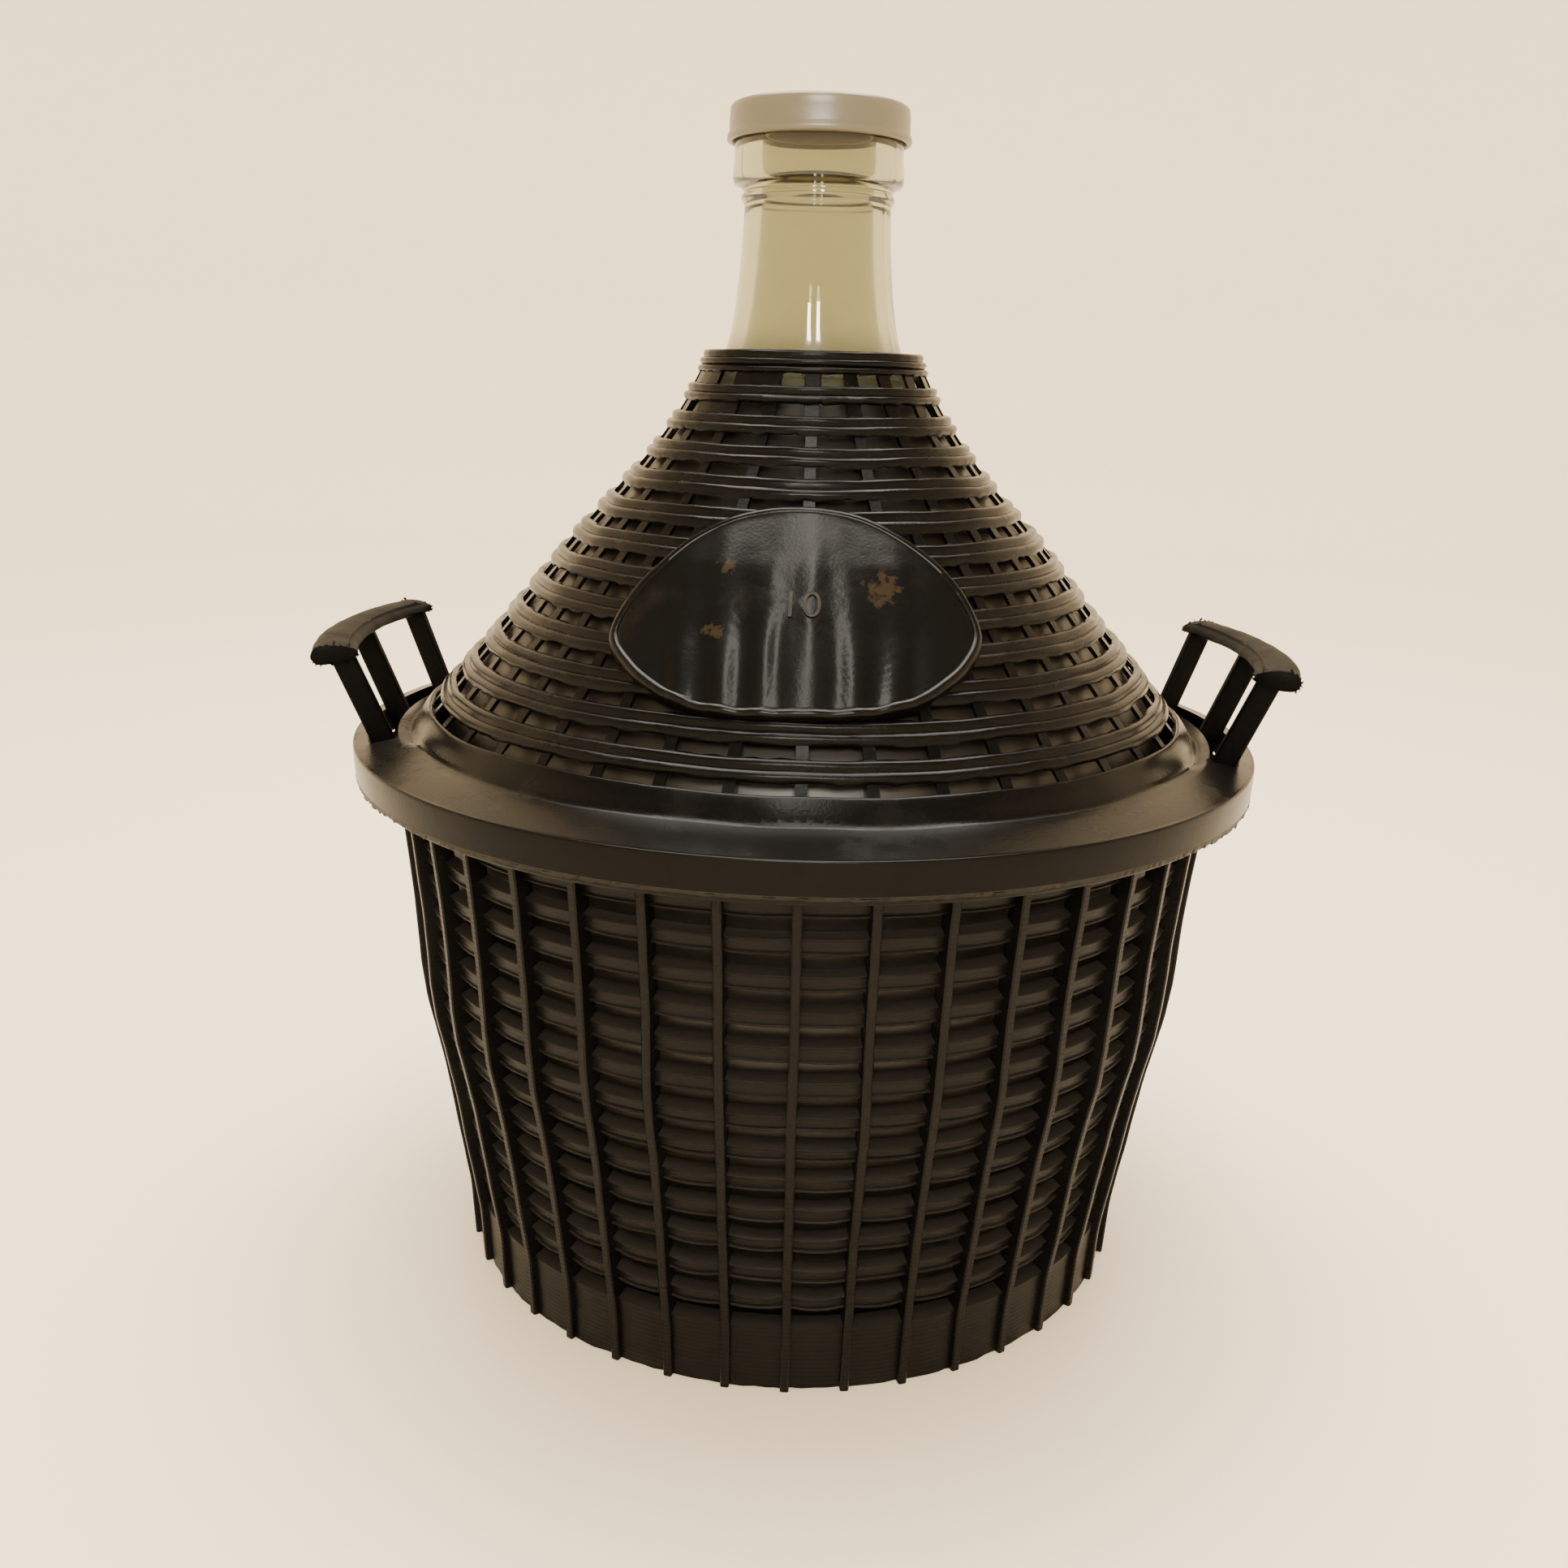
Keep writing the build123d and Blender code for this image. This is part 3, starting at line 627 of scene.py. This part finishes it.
# %% The plate: its capacity, ten litres, as raised figures
figure_relief = 0.42    # half the depth of a figure
figure_lift = 0.10
figure_middle = (2.8, -5.6)
clear_selection()
bpy.ops.object.text_add()
figures = bpy.context.object
figures.name = "capacity_figures"
figures.data.body = "10"
figures.data.size = 12.4 * MM
figures.data.extrude = figure_relief * MM
figures.data.offset = -0.10 * MM
figures.data.resolution_u = 6
bpy.ops.object.convert(target="MESH")
figures = bpy.context.object
flat = places(figures)
middle_u = (flat[:, 0].min() + flat[:, 0].max()) / 2
outer_face = plate_lift + plate_thick
put(figures, np.array([on_plate(x - middle_u + figure_middle[0], y + figure_middle[1],
                                z + outer_face + figure_lift) for x, y, z in flat]))
bpy.ops.object.mode_set(mode="EDIT")
bpy.ops.mesh.select_all(action="SELECT")
bpy.ops.mesh.remove_doubles(threshold=0.01 * MM)
bpy.ops.mesh.normals_make_consistent(inside=False)
bpy.ops.object.mode_set(mode="OBJECT")
smooth(figures, 30)
report(figures)
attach(figures, "cage")

# %% [markdown]
# ## The basket
# The basket's slats are rings, so each is a small closed outline turned once. The upright
# ribs cross them. One rib is modelled, bent to the belly, and copied forty times.

# %% The basket: slats
wall_top = 173.9
first_slot = wall_top - 11.9
slot_high = 4.75
band_top = 24.3
slot_pitch = (first_slot - band_top - slot_high / 2) / (row_count - 1)
rib_deep, slat_deep = 3.3, 3.9


def core(z):
    return crest(z) - rib_deep - slat_deep


def face(z):
    return crest(z) - rib_deep


def shape_between_ribs(piece, seed, bow):
    """Moves the columns beside each rib to its sides, bows the slat between them and lets it wander."""
    co = places(piece)
    r = np.hypot(co[:, 0], co[:, 1])
    line = (np.round(np.degrees(np.arctan2(co[:, 1], co[:, 0])) / (pitch_deg / cells)).astype(int)
            % (rib_count * cells))
    w = np.degrees(1.7 / np.maximum(r, 50))
    angle = line // cells * pitch_deg + w + line % cells * (pitch_deg - 2 * w) / (cells - 1)
    turn_to(co, angle)
    part = line % cells
    middle_share = np.array([0.0, 0.75, 1.0, 0.75, 0.0])[part]
    front = r > np.array([core(v) for v in co[:, 2]]) + 1.5
    cell = line // cells
    per_cell = np.array([chance.uniform(-1, 1) for _ in range(rib_count)])[cell]
    co[:, :2] *= (1 + (middle_share - 0.6) * 0.22 * front / np.maximum(r, 50))[:, None]
    co[:, 2] += bow * (0.55 + 0.45 * per_cell) * (middle_share - 0.5)
    co[:, 2] += wander(co, 22, seed) * (0.25 + 0.55 * abs(bow)) + wander(co, 6, seed + 3) * 0.10
    co[:, :2] *= (1 + wander(co, 9, seed + 5) * 0.14 * front / np.maximum(r, 50))[:, None]
    put(piece, co)


slats = []
top = first_slot + slot_high / 2 + 6.6
for i in range(row_count):
    low = first_slot - i * slot_pitch + slot_high / 2
    nose = 0.9 if i else 1.9
    section = [(core(top), top), (core(top) + nose, top), (core(top) + nose + 0.35, top - 0.12),
               (face(top) - 0.2, top - 1.2), (face(top) + 0.05, top - 1.4), (face(top) + 0.1, top - 1.65),
               (face(top) - 0.1, top - 1.85), (face(top) - 0.5, top - 2.0),
               (face((top + low) / 2) - 0.5, (top + low) / 2),
               (face(low) - 0.5, low + 0.95), (face(low) - 0.1, low + 0.8), (face(low) + 0.1, low + 0.6),
               (face(low) + 0.05, low + 0.25), (face(low) - 0.25, low), (core(low), low)]
    slat = draw_outline("slat", section, close=True)
    slat = spin_round(slat, rib_count * cells)
    shape_between_ribs(slat, 30 + 7 * i, -0.15 - 0.75 * max(0, i - 5) / 7)
    slats.append(slat)
    top = low - slot_high
report(slats[0])

# %% The basket: flange, band and floor
band = [(core(band_top), band_top), (core(band_top) + 0.9, band_top), (crest(band_top) - 2.9, band_top - 1.2),
        (crest(band_top) - 2.3, band_top - 1.5), (crest(18) - 2.1, 18), (crest(12) - 2.1, 12),
        (crest(6) - 2.1, 6),
        (crest(1) - 2.1, 1.0), (crest(0) - 2.15, 0.3), (crest(0) - 2.5, 0.0), (core(0), 0), (core(1), 2.0),
        (60, 2.0), (0, 2.0), (0, 5.0), (60, 5.0), (core(5), 5.0), (core(12), 12)]
foot = draw_outline("foot", band, close=True)
foot = spin_round(foot, rib_count * cells)
shape_between_ribs(foot, 140, 0.0)
co = places(foot)
co[:, 2] = np.maximum(co[:, 2], 0)
low = (co[:, 2] < 0.6) & (np.hypot(co[:, 0], co[:, 1]) > core(0) + 3)
co[low, :2] *= np.array([1 + chance.uniform(-0.25, 0.6) / 120 for _ in range(int(low.sum()))])[:, None]
put(foot, co)
rim = [(core(170), 170.7), (core(170) + 1.9, 170.7), (core(173) + 1.9, 173.6), (core(173) + 2.4, 173.9),
       (146, 173.9),
       (flange_r - 2.9, 173.9), (flange_r - 2.7, 174.2), (flange_r - 2.7, 175.9),
       (flange_r - 3.0, basket_top),
       (core(basket_top), basket_top)]
collar = draw_outline("rim", rim, close=True)
collar = spin_round(collar, rib_count * cells)

# %% The basket: one rib, forty copies
rib_z = list(np.linspace(0.2, wall_top + 0.2, 46))
clear_selection()
bpy.ops.mesh.primitive_plane_add(size=1)
rib = bpy.context.object
rib.name = "rib"
half = 1.4
ring = [(-half, -6.6), (-half, -0.55), (-half + 0.45, -0.05), (half - 0.45, -0.05), (half, -0.55),
        (half, -6.6)]
bpy.ops.object.mode_set(mode="EDIT")
bpy.ops.mesh.select_all(action="SELECT")
bpy.ops.mesh.delete(type="VERT")
bpy.ops.mesh.primitive_circle_add(vertices=6, radius=1, fill_type="NGON")
bpy.ops.object.mode_set(mode="OBJECT")
in_turn = sorted(rib.data.vertices, key=lambda v: math.atan2(v.co.y, v.co.x))
for vertex, (across, deep) in zip(in_turn, ring):
    vertex.co = (across * MM, deep * MM, rib_z[0] * MM)
bpy.ops.object.mode_set(mode="EDIT")
bpy.ops.mesh.select_all(action="SELECT")
for a, b in zip(rib_z, rib_z[1:]):
    bpy.ops.mesh.extrude_region_move(TRANSFORM_OT_translate={"value": (0, 0, (b - a) * MM)})
bpy.ops.mesh.select_all(action="SELECT")
bpy.ops.mesh.normals_make_consistent(inside=False)
bpy.ops.object.mode_set(mode="OBJECT")
straight = places(rib)
ribs = []
for k in range(rib_count):
    copy = rib.copy()
    copy.data = rib.data.copy()
    bpy.context.collection.objects.link(copy)
    co = straight.copy()
    z = co[:, 2]
    sway = np.array([noise.noise(Vector((k * 3.1, v / 38.0, 1.0))) * 0.55
                     + noise.noise(Vector((k * 5.3, v / 9.0, 2.0))) * 0.12 for v in z])
    deep = np.array([noise.noise(Vector((k * 2.7, v / 14.0, 6.0))) * 0.18 for v in z]) * (co[:, 1] > -1)
    r = np.array([crest(v) for v in z]) + co[:, 1] + deep
    a = math.radians(k * pitch_deg)
    side = sway - co[:, 0]
    x = r * math.cos(a) - side * math.sin(a)
    y = r * math.sin(a) + side * math.cos(a)
    put(copy, np.stack((x, y, z), 1))
    ribs.append(copy)
bpy.data.objects.remove(rib)
basket = join([collar, foot] + slats + ribs, "basket")
smooth(basket, 34)
report(basket)
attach(basket, "cage")
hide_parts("basket")

# %% [markdown]
# ## The handles
# Each handle is a comb of three posts, moulded with the basket, that leans outwards with
# a thick grip along its top. The comb starts as a line on its outer side. Short spins
# sweep it round, one for each post and gap, the two gaps are deleted, and Solidify gives
# the thickness. The corners of the gaps are then beveled, as a mould maker would.

# %% The handles: comb
comb_mid = 145.2
half_deg = 17.4
post_deg = 1.6
gap_deg = half_deg - 1.5 * post_deg
under = flange_top + 28.9
web_top = basket_top + 4.0
comb_thick = 8.3
lean_deg = 22


def comb_r(z):
    return comb_mid + (z - flange_top) * math.tan(math.radians(lean_deg))


def centre_on_x(piece):
    co = places(piece)
    angle = np.degrees(np.arctan2(co[:, 1], co[:, 0]))
    turn_to(co, angle - (angle.min() + angle.max()) / 2)
    put(piece, co)


levels = [basket_top - 2.0, web_top, (web_top + under) / 2, under, under + 1.0]
comb = draw_outline("comb", [(comb_r(v) + comb_thick / 2, v) for v in levels])
for sweep, steps in ((post_deg, 2), (gap_deg, 5), (post_deg, 2), (gap_deg, 5), (post_deg, 2)):
    bpy.ops.mesh.spin(steps=steps, angle=math.radians(sweep), center=(0, 0, 0), axis=(0, 0, 1))
bpy.ops.mesh.select_all(action="SELECT")
bpy.ops.mesh.remove_doubles(threshold=0.01 * MM)
bpy.ops.mesh.normals_make_consistent(inside=False)
bpy.ops.object.mode_set(mode="OBJECT")
centre_on_x(comb)
centres = face_centres(comb)
turned = np.abs(np.degrees(np.arctan2(centres[:, 1], centres[:, 0])))
middle_z = (centres[:, 2] > web_top) & (centres[:, 2] < under)
delete_faces(comb, middle_z & (turned > post_deg / 2) & (turned < half_deg - post_deg))
outward_is_up = comb.data.polygons[0].normal.x > 0
wall = comb_thick * math.cos(math.radians(lean_deg))
apply_modifier(comb, "SOLIDIFY", thickness=wall * MM, offset=-1 if outward_is_up else 1)
co = places(comb)
turned = np.abs(np.degrees(np.arctan2(co[:, 1], co[:, 0])))
at_gap = (np.abs(turned - post_deg / 2) < 0.1) | (np.abs(turned - half_deg + post_deg) < 0.1)
clear_selection()
comb.select_set(True)
bpy.context.view_layer.objects.active = comb
bpy.ops.object.mode_set(mode="EDIT")
bpy.ops.mesh.select_all(action="DESELECT")
bpy.ops.mesh.select_mode(type="EDGE")
bpy.ops.object.mode_set(mode="OBJECT")
corners = 0
for e in comb.data.edges:
    a, b = e.vertices
    if at_gap[a] and at_gap[b] and abs(turned[a] - turned[b]) < 0.3:
        across = math.hypot(co[a][0] - co[b][0], co[a][1] - co[b][1])
        near_level = min(abs(co[c][2] - v) for c in (a, b) for v in (web_top, under)) < 0.3
        if across > 6 and abs(co[a][2] - co[b][2]) < 6 and near_level:
            e.select = True
            corners += 1
print("gap corners to round:", corners)
bpy.ops.object.mode_set(mode="EDIT")
bpy.ops.mesh.bevel(offset=2.4 * MM, segments=5, affect="EDGES")
bpy.ops.mesh.select_mode(type="VERT")
bpy.ops.object.mode_set(mode="OBJECT")
apply_modifier(comb, "BEVEL", width=1.3 * MM, segments=4, limit_method="ANGLE", angle_limit=math.radians(50),
               use_clamp_overlap=False)

# %% The handles: grip
inner_r = comb_r(under) - comb_thick / 2 - 1.2
round_grip = [(0.4, 0.2), (1.4, -0.3), (4.4, -1.5), (8.5, -2.5), (11.8, -2.6), (13.3, -2.35), (14.2, -1.6),
              (14.6, -0.4),
              (14.7, 0.8), (14.3, 2.0), (13.3, 3.0), (11.8, 3.6), (9.9, 3.95), (7.8, 4.0), (5.4, 3.75),
              (3.0, 3.2),
              (1.2, 2.5), (0.3, 1.8), (0.05, 0.9)]
section = [(inner_r + across, under + high) for across, high in round_grip]
grip = draw_outline("grip", section, close=True)
bpy.ops.mesh.delete(type="ONLY_FACE")
bpy.ops.mesh.select_all(action="SELECT")
bpy.ops.mesh.spin(steps=40, angle=math.radians(2 * half_deg + 1.8), center=(0, 0, 0), axis=(0, 0, 1))
bpy.ops.mesh.select_all(action="SELECT")
bpy.ops.mesh.remove_doubles(threshold=0.01 * MM)
bpy.ops.mesh.fill_holes(sides=0)
bpy.ops.mesh.select_all(action="SELECT")
bpy.ops.mesh.normals_make_consistent(inside=False)
bpy.ops.object.mode_set(mode="OBJECT")
centre_on_x(grip)
co = places(grip)
turned = np.degrees(np.arctan2(co[:, 1], co[:, 0]))
co += np.stack([wander(co, 9, 60), wander(co, 9, 61), wander(co, 8, 62)], 1) * 0.28
co += np.stack([wander(co, 3, 63), wander(co, 3, 64), wander(co, 3, 65)], 1) * 0.16
ends = np.abs(turned) > half_deg + 0.6
ragged = np.array([chance.uniform(-0.7, 0.5) for _ in range(int(ends.sum()))])
co[ends, 1] += ragged * np.sign(co[ends, 1])
put(grip, co)
apply_modifier(grip, "BEVEL", width=0.35 * MM, segments=2, limit_method="ANGLE", angle_limit=math.radians(55))

# %% The handles: hairs of flash on the ends of the grip, and both sides
hairs = []
for k in range(26):
    side = -1 if k % 2 else 1
    r, z = section[(k * 5) % len(section)]
    a = math.radians(side * (half_deg + 0.9))
    clear_selection()
    bpy.ops.mesh.primitive_cone_add(vertices=4, radius1=chance.uniform(0.3, 0.7) * MM, radius2=0.05 * MM,
                                    depth=chance.uniform(1.4, 3.6) * MM,
                                    location=(r * math.cos(a) * MM, r * math.sin(a) * MM, z * MM),
                                    rotation=(-side * 1.57 + chance.uniform(-0.6, 0.6),
                                              chance.uniform(-0.6, 0.6), 0))
    hairs.append(bpy.context.object)
handle = join([comb, grip] + hairs, "right_handle_look")
clear_selection()
handle.select_set(True)
bpy.context.view_layer.objects.active = handle
bpy.ops.object.transform_apply(location=True, rotation=True, scale=True)
other = handle.copy()
other.data = handle.data.copy()
other.name = "left_handle_look"
bpy.context.collection.objects.link(other)
co = places(other)
co[:, 0] = -co[:, 0]
co[:, 1] = -co[:, 1]
put(other, co)
for piece, node in ((handle, "right_handle"), (other, "left_handle")):
    smooth(piece, 42)
    report(piece)
    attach(piece, "cage")
    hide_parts(node)

# %% [markdown]
# ## Finishes
# Both black plastics share one recipe: a dark, slightly brown base, dust that gathers on
# what faces up and in patches, a gloss that the dust takes away, and a fine moulded grain.
# On the basket, what faces up is also painted lighter as painted light on its ledges, and the
# handles take a darker copy of the basket's black as painted shade.

# %% Black plastics
def black_with_dust_and_lit_tops(name, clean, dust, gloss, dull, dusty_share, grain, patch_size,
                lit_ledge=None, lines=0.0, shine=0.11):
    made = bpy.data.materials.new(name)
    made.use_nodes = True
    nodes, links = made.node_tree.nodes, made.node_tree.links
    shader = nodes["Principled BSDF"]
    shader.inputs["Specular IOR Level"].default_value = shine
    where = nodes.new("ShaderNodeTexCoord")
    patches = nodes.new("ShaderNodeTexNoise")
    patches.inputs["Scale"].default_value = 1 / (patch_size * MM)
    patches.inputs["Detail"].default_value = 6
    patches.inputs["Roughness"].default_value = 0.62
    links.new(where.outputs["Object"], patches.inputs["Vector"])
    facing = nodes.new("ShaderNodeNewGeometry")
    split = nodes.new("ShaderNodeSeparateXYZ")
    links.new(facing.outputs["Normal"], split.inputs["Vector"])
    up = nodes.new("ShaderNodeMapRange")
    up.inputs["From Min"].default_value = -0.2
    up.inputs["To Min"].default_value = 0.25
    links.new(split.outputs["Z"], up.inputs["Value"])
    share = nodes.new("ShaderNodeMapRange")
    share.inputs["From Min"].default_value = 0.62 - dusty_share
    share.inputs["From Max"].default_value = 0.90 - dusty_share * 0.5
    links.new(patches.outputs["Fac"], share.inputs["Value"])
    both = nodes.new("ShaderNodeMath")
    both.operation = "MULTIPLY"
    links.new(up.outputs["Result"], both.inputs[0])
    links.new(share.outputs["Result"], both.inputs[1])
    colour = nodes.new("ShaderNodeMix")
    colour.data_type = "RGBA"
    colour.inputs[6].default_value = (*clean, 1)
    colour.inputs[7].default_value = (*dust, 1)
    links.new(both.outputs["Value"], colour.inputs["Factor"])
    shown = colour.outputs[2]
    # Surfaces that face up are painted lighter: painted light on the slat ledges and the other tops of the
    # basket.
    if lit_ledge:
        level = nodes.new("ShaderNodeMapRange")
        level.inputs["From Min"].default_value = 0.45
        level.inputs["From Max"].default_value = 0.85
        links.new(split.outputs["Z"], level.inputs["Value"])
        painted_top_light = nodes.new("ShaderNodeMix")
        painted_top_light.data_type = "RGBA"
        links.new(level.outputs["Result"], painted_top_light.inputs["Factor"])
        links.new(shown, painted_top_light.inputs[6])
        painted_top_light.inputs[7].default_value = (*lit_ledge, 1)
        shown = painted_top_light.outputs[2]
    links.new(shown, shader.inputs["Base Color"])
    rough = nodes.new("ShaderNodeMapRange")
    rough.inputs["To Min"].default_value = gloss
    rough.inputs["To Max"].default_value = dull
    links.new(both.outputs["Value"], rough.inputs["Value"])
    links.new(rough.outputs["Result"], shader.inputs["Roughness"])
    fine = nodes.new("ShaderNodeTexNoise")
    fine.inputs["Scale"].default_value = 900
    fine.inputs["Detail"].default_value = 5
    links.new(where.outputs["Object"], fine.inputs["Vector"])
    bump = nodes.new("ShaderNodeBump")
    bump.inputs["Strength"].default_value = grain
    bump.inputs["Distance"].default_value = 0.4 * MM
    links.new(fine.outputs["Fac"], bump.inputs["Height"])
    if lines:
        # fine level lines that the mould cutter left
        wave = nodes.new("ShaderNodeTexWave")
        wave.bands_direction = "Z"
        wave.inputs["Scale"].default_value = 190
        wave.inputs["Distortion"].default_value = 1.2
        wave.inputs["Detail"].default_value = 3
        wave.inputs["Detail Scale"].default_value = 0.6
        links.new(where.outputs["Object"], wave.inputs["Vector"])
        second = nodes.new("ShaderNodeBump")
        second.inputs["Strength"].default_value = lines
        second.inputs["Distance"].default_value = 0.5 * MM
        links.new(wave.outputs["Fac"], second.inputs["Height"])
        links.new(second.outputs["Normal"], bump.inputs["Normal"])
    links.new(bump.outputs["Normal"], shader.inputs["Normal"])
    return made


cover_black = black_with_dust_and_lit_tops("cover_black", (0.0016, 0.0014, 0.0012), (0.0078, 0.0070, 0.0060), 0.24, 0.50,
                          0.10, 0.12, 30, shine=0.085)
plate_black = black_with_dust_and_lit_tops("plate_black", (0.0021, 0.0018, 0.0014), (0.0120, 0.0096, 0.0062), 0.23, 0.40,
                          0.06, 0.10, 22)
basket_black = black_with_dust_and_lit_tops("basket_black", (0.0025, 0.0022, 0.0020), (0.0085, 0.0077, 0.0067), 0.36, 0.60,
                           0.12, 0.14, 26,
                           lit_ledge=(0.0115, 0.0102, 0.0086), lines=0.12)
lip_grey = black_with_dust_and_lit_tops("lip_grey", (0.008, 0.0068, 0.0052), (0.034, 0.029, 0.021), 0.40, 0.60, 0.30, 0.10, 4)
# The handles are the basket's plastic, but they take a darker, duller copy of its black: painted shade
# against the light their grips catch from above.
shaded_handle_black = black_with_dust_and_lit_tops("shaded_handle_black", (0.0010, 0.0009, 0.0008), (0.0038, 0.0033, 0.0027), 0.52, 0.68,
                           0.12, 0.20, 12, shine=0.04)

# %% [markdown]
# ## Stains
# Three old splashes have dried on the plate. Each is a place with a radius: the distance
# to it is added to a noise, so that the patch has a torn edge instead of a round one.

# %% Stains on the plate
def stain(material, spots, colour):
    """Small patches of colour, each a place in metres with a radius in metres."""
    nodes, links = material.node_tree.nodes, material.node_tree.links
    shader = nodes["Principled BSDF"]
    where = nodes.new("ShaderNodeTexCoord")
    torn = nodes.new("ShaderNodeTexNoise")
    torn.inputs["Scale"].default_value = 420
    torn.inputs["Detail"].default_value = 5
    links.new(where.outputs["Object"], torn.inputs["Vector"])
    for place, radius in spots:
        away = nodes.new("ShaderNodeVectorMath")
        away.operation = "DISTANCE"
        away.inputs[1].default_value = place
        links.new(where.outputs["Object"], away.inputs[0])
        near = nodes.new("ShaderNodeMapRange")
        near.inputs["From Min"].default_value = radius
        near.inputs["From Max"].default_value = 0
        near.inputs["To Max"].default_value = 0.62
        links.new(away.outputs["Value"], near.inputs["Value"])
        total = nodes.new("ShaderNodeMath")
        links.new(near.outputs["Result"], total.inputs[0])
        links.new(torn.outputs["Fac"], total.inputs[1])
        edge = nodes.new("ShaderNodeMapRange")
        edge.inputs["From Min"].default_value = 0.74
        edge.inputs["From Max"].default_value = 0.86
        links.new(total.outputs["Value"], edge.inputs["Value"])
        mix = nodes.new("ShaderNodeMix")
        mix.data_type = "RGBA"
        links.new(edge.outputs["Result"], mix.inputs["Factor"])
        links.new(shader.inputs["Base Color"].links[0].from_socket, mix.inputs[6])
        mix.inputs[7].default_value = (*colour, 1)
        links.new(mix.outputs[2], shader.inputs["Base Color"])


stain_brown = (0.017, 0.0122, 0.0058)
splashes = [((0.0216, -0.0851, 0.2468), 0.009), ((-0.0258, -0.0938, 0.2352), 0.0055),
            ((-0.0229, -0.0807, 0.2515), 0.0045)]
stain(plate_black, splashes, stain_brown)
print("stains", len(splashes))

# %% Glass and cap
olive_glass = bpy.data.materials.new("olive_glass")
olive_glass.use_nodes = True
shader = olive_glass.node_tree.nodes["Principled BSDF"]
shader.inputs["Roughness"].default_value = 0.03
shader.inputs["IOR"].default_value = 1.5
nodes, links = olive_glass.node_tree.nodes, olive_glass.node_tree.links
where = nodes.new("ShaderNodeTexCoord")
split = nodes.new("ShaderNodeSeparateXYZ")
links.new(where.outputs["Object"], split.inputs["Vector"])
# Below the cover's top the glass is painted a dark brown: painted shade, for the little light that gets in
# under the cover. The lower transmission and the rougher film there stand for dust on the glass.
covered = nodes.new("ShaderNodeMapRange")
covered.inputs["From Min"].default_value = 0.322
covered.inputs["From Max"].default_value = 0.296
links.new(split.outputs["Z"], covered.inputs["Value"])
shade_under_cover = nodes.new("ShaderNodeMix")
shade_under_cover.data_type = "RGBA"
shade_under_cover.inputs[6].default_value = (0.445, 0.455, 0.325, 1)
shade_under_cover.inputs[7].default_value = (0.026, 0.0205, 0.0125, 1)
links.new(covered.outputs["Result"], shade_under_cover.inputs["Factor"])
links.new(shade_under_cover.outputs[2], shader.inputs["Base Color"])
clear = nodes.new("ShaderNodeMapRange")
clear.inputs["To Min"].default_value = 1.0
clear.inputs["To Max"].default_value = 0.75
links.new(covered.outputs["Result"], clear.inputs["Value"])
links.new(clear.outputs["Result"], shader.inputs["Transmission Weight"])
shine = nodes.new("ShaderNodeMapRange")
shine.inputs["To Min"].default_value = 0.5
shine.inputs["To Max"].default_value = 0.12
links.new(covered.outputs["Result"], shine.inputs["Value"])
links.new(shine.outputs["Result"], shader.inputs["Specular IOR Level"])
film = nodes.new("ShaderNodeMapRange")
film.inputs["To Min"].default_value = 0.03
film.inputs["To Max"].default_value = 0.42
links.new(covered.outputs["Result"], film.inputs["Value"])
links.new(film.outputs["Result"], shader.inputs["Roughness"])

milky_cap = bpy.data.materials.new("milky_cap")
milky_cap.use_nodes = True
shader = milky_cap.node_tree.nodes["Principled BSDF"]
shader.inputs["Base Color"].default_value = (0.155, 0.138, 0.092, 1)
shader.inputs["Roughness"].default_value = 0.34
shader.inputs["IOR"].default_value = 1.51
shader.inputs["Transmission Weight"].default_value = 0.35
shader.inputs["Subsurface Weight"].default_value = 0.5
shader.inputs["Subsurface Radius"].default_value = (0.006, 0.005, 0.004)
shader.inputs["Subsurface Scale"].default_value = 1.0

# The raised figures take the lighter grey of the flash: partly dust on them, partly painted light that raised
# figures catch.
for piece, finish in ((bottle, olive_glass), (cap, milky_cap), (cover, cover_black), (lip, lip_grey),
                      (plate, plate_black), (figures, lip_grey),
                      (basket, basket_black), (handle, shaded_handle_black), (other, shaded_handle_black)):
    piece.data.materials.clear()
    piece.data.materials.append(finish)

# %% [markdown]
# ## Floor and light
# The floor is a pale disc that curves up into a low wall all round, so that every view
# has the same plain surround. A pair of tall soft windows in front gives the twin
# highlights on the cone, a narrow panel above draws the upright streaks on the plate, and
# a wide panel overhead lights the rest.

# %% Floor and light
floor = draw_outline("floor",
                     [(0, -0.05), (900, -0.05), (1500, -0.05), (1800, 45), (2050, 180), (2200, 420),
                      (2250, 800), (2260, 2600)])
floor = spin_round(floor, 96)
smooth(floor, 60)
pale = bpy.data.materials.new("pale_floor")
pale.use_nodes = True
pale.node_tree.nodes["Principled BSDF"].inputs["Base Color"].default_value = (0.80, 0.70, 0.535, 1)
pale.node_tree.nodes["Principled BSDF"].inputs["Roughness"].default_value = 0.75
floor.data.materials.append(pale)


def soft_light(name, where, at, width, height, power, colour):
    bpy.ops.object.light_add(type="AREA", location=where)
    lamp = bpy.context.object
    lamp.name = name
    lamp.data.shape = "RECTANGLE"
    lamp.data.size = width
    lamp.data.size_y = height
    lamp.data.energy = power
    lamp.data.color = colour
    lamp.rotation_euler = (Vector(at) - Vector(where)).to_track_quat("-Z", "Y").to_euler()
    return lamp


clear_selection()
soft_light("window_left", (-0.22, -1.9, 1.25), (0, 0, 0.25), 0.14, 0.5, 27, (1, 0.95, 0.85))
soft_light("window_right", (0.22, -1.9, 1.25), (0, 0, 0.25), 0.14, 0.5, 27, (1, 0.95, 0.85))
soft_light("ceiling", (0.0, 0.5, 2.1), (0, 0, 0), 1.6, 1.6, 138, (1, 0.94, 0.84))
soft_light("strip", (0.0, -0.68, 2.0), (0, -0.1, 0.2), 0.19, 0.86, 15, (1, 0.94, 0.84))
world = bpy.data.worlds.new("room")
bpy.context.scene.world = world
world.use_nodes = True
world.node_tree.nodes["Background"].inputs["Color"].default_value = (1, 0.925, 0.785, 1)
world.node_tree.nodes["Background"].inputs["Strength"].default_value = 0.50
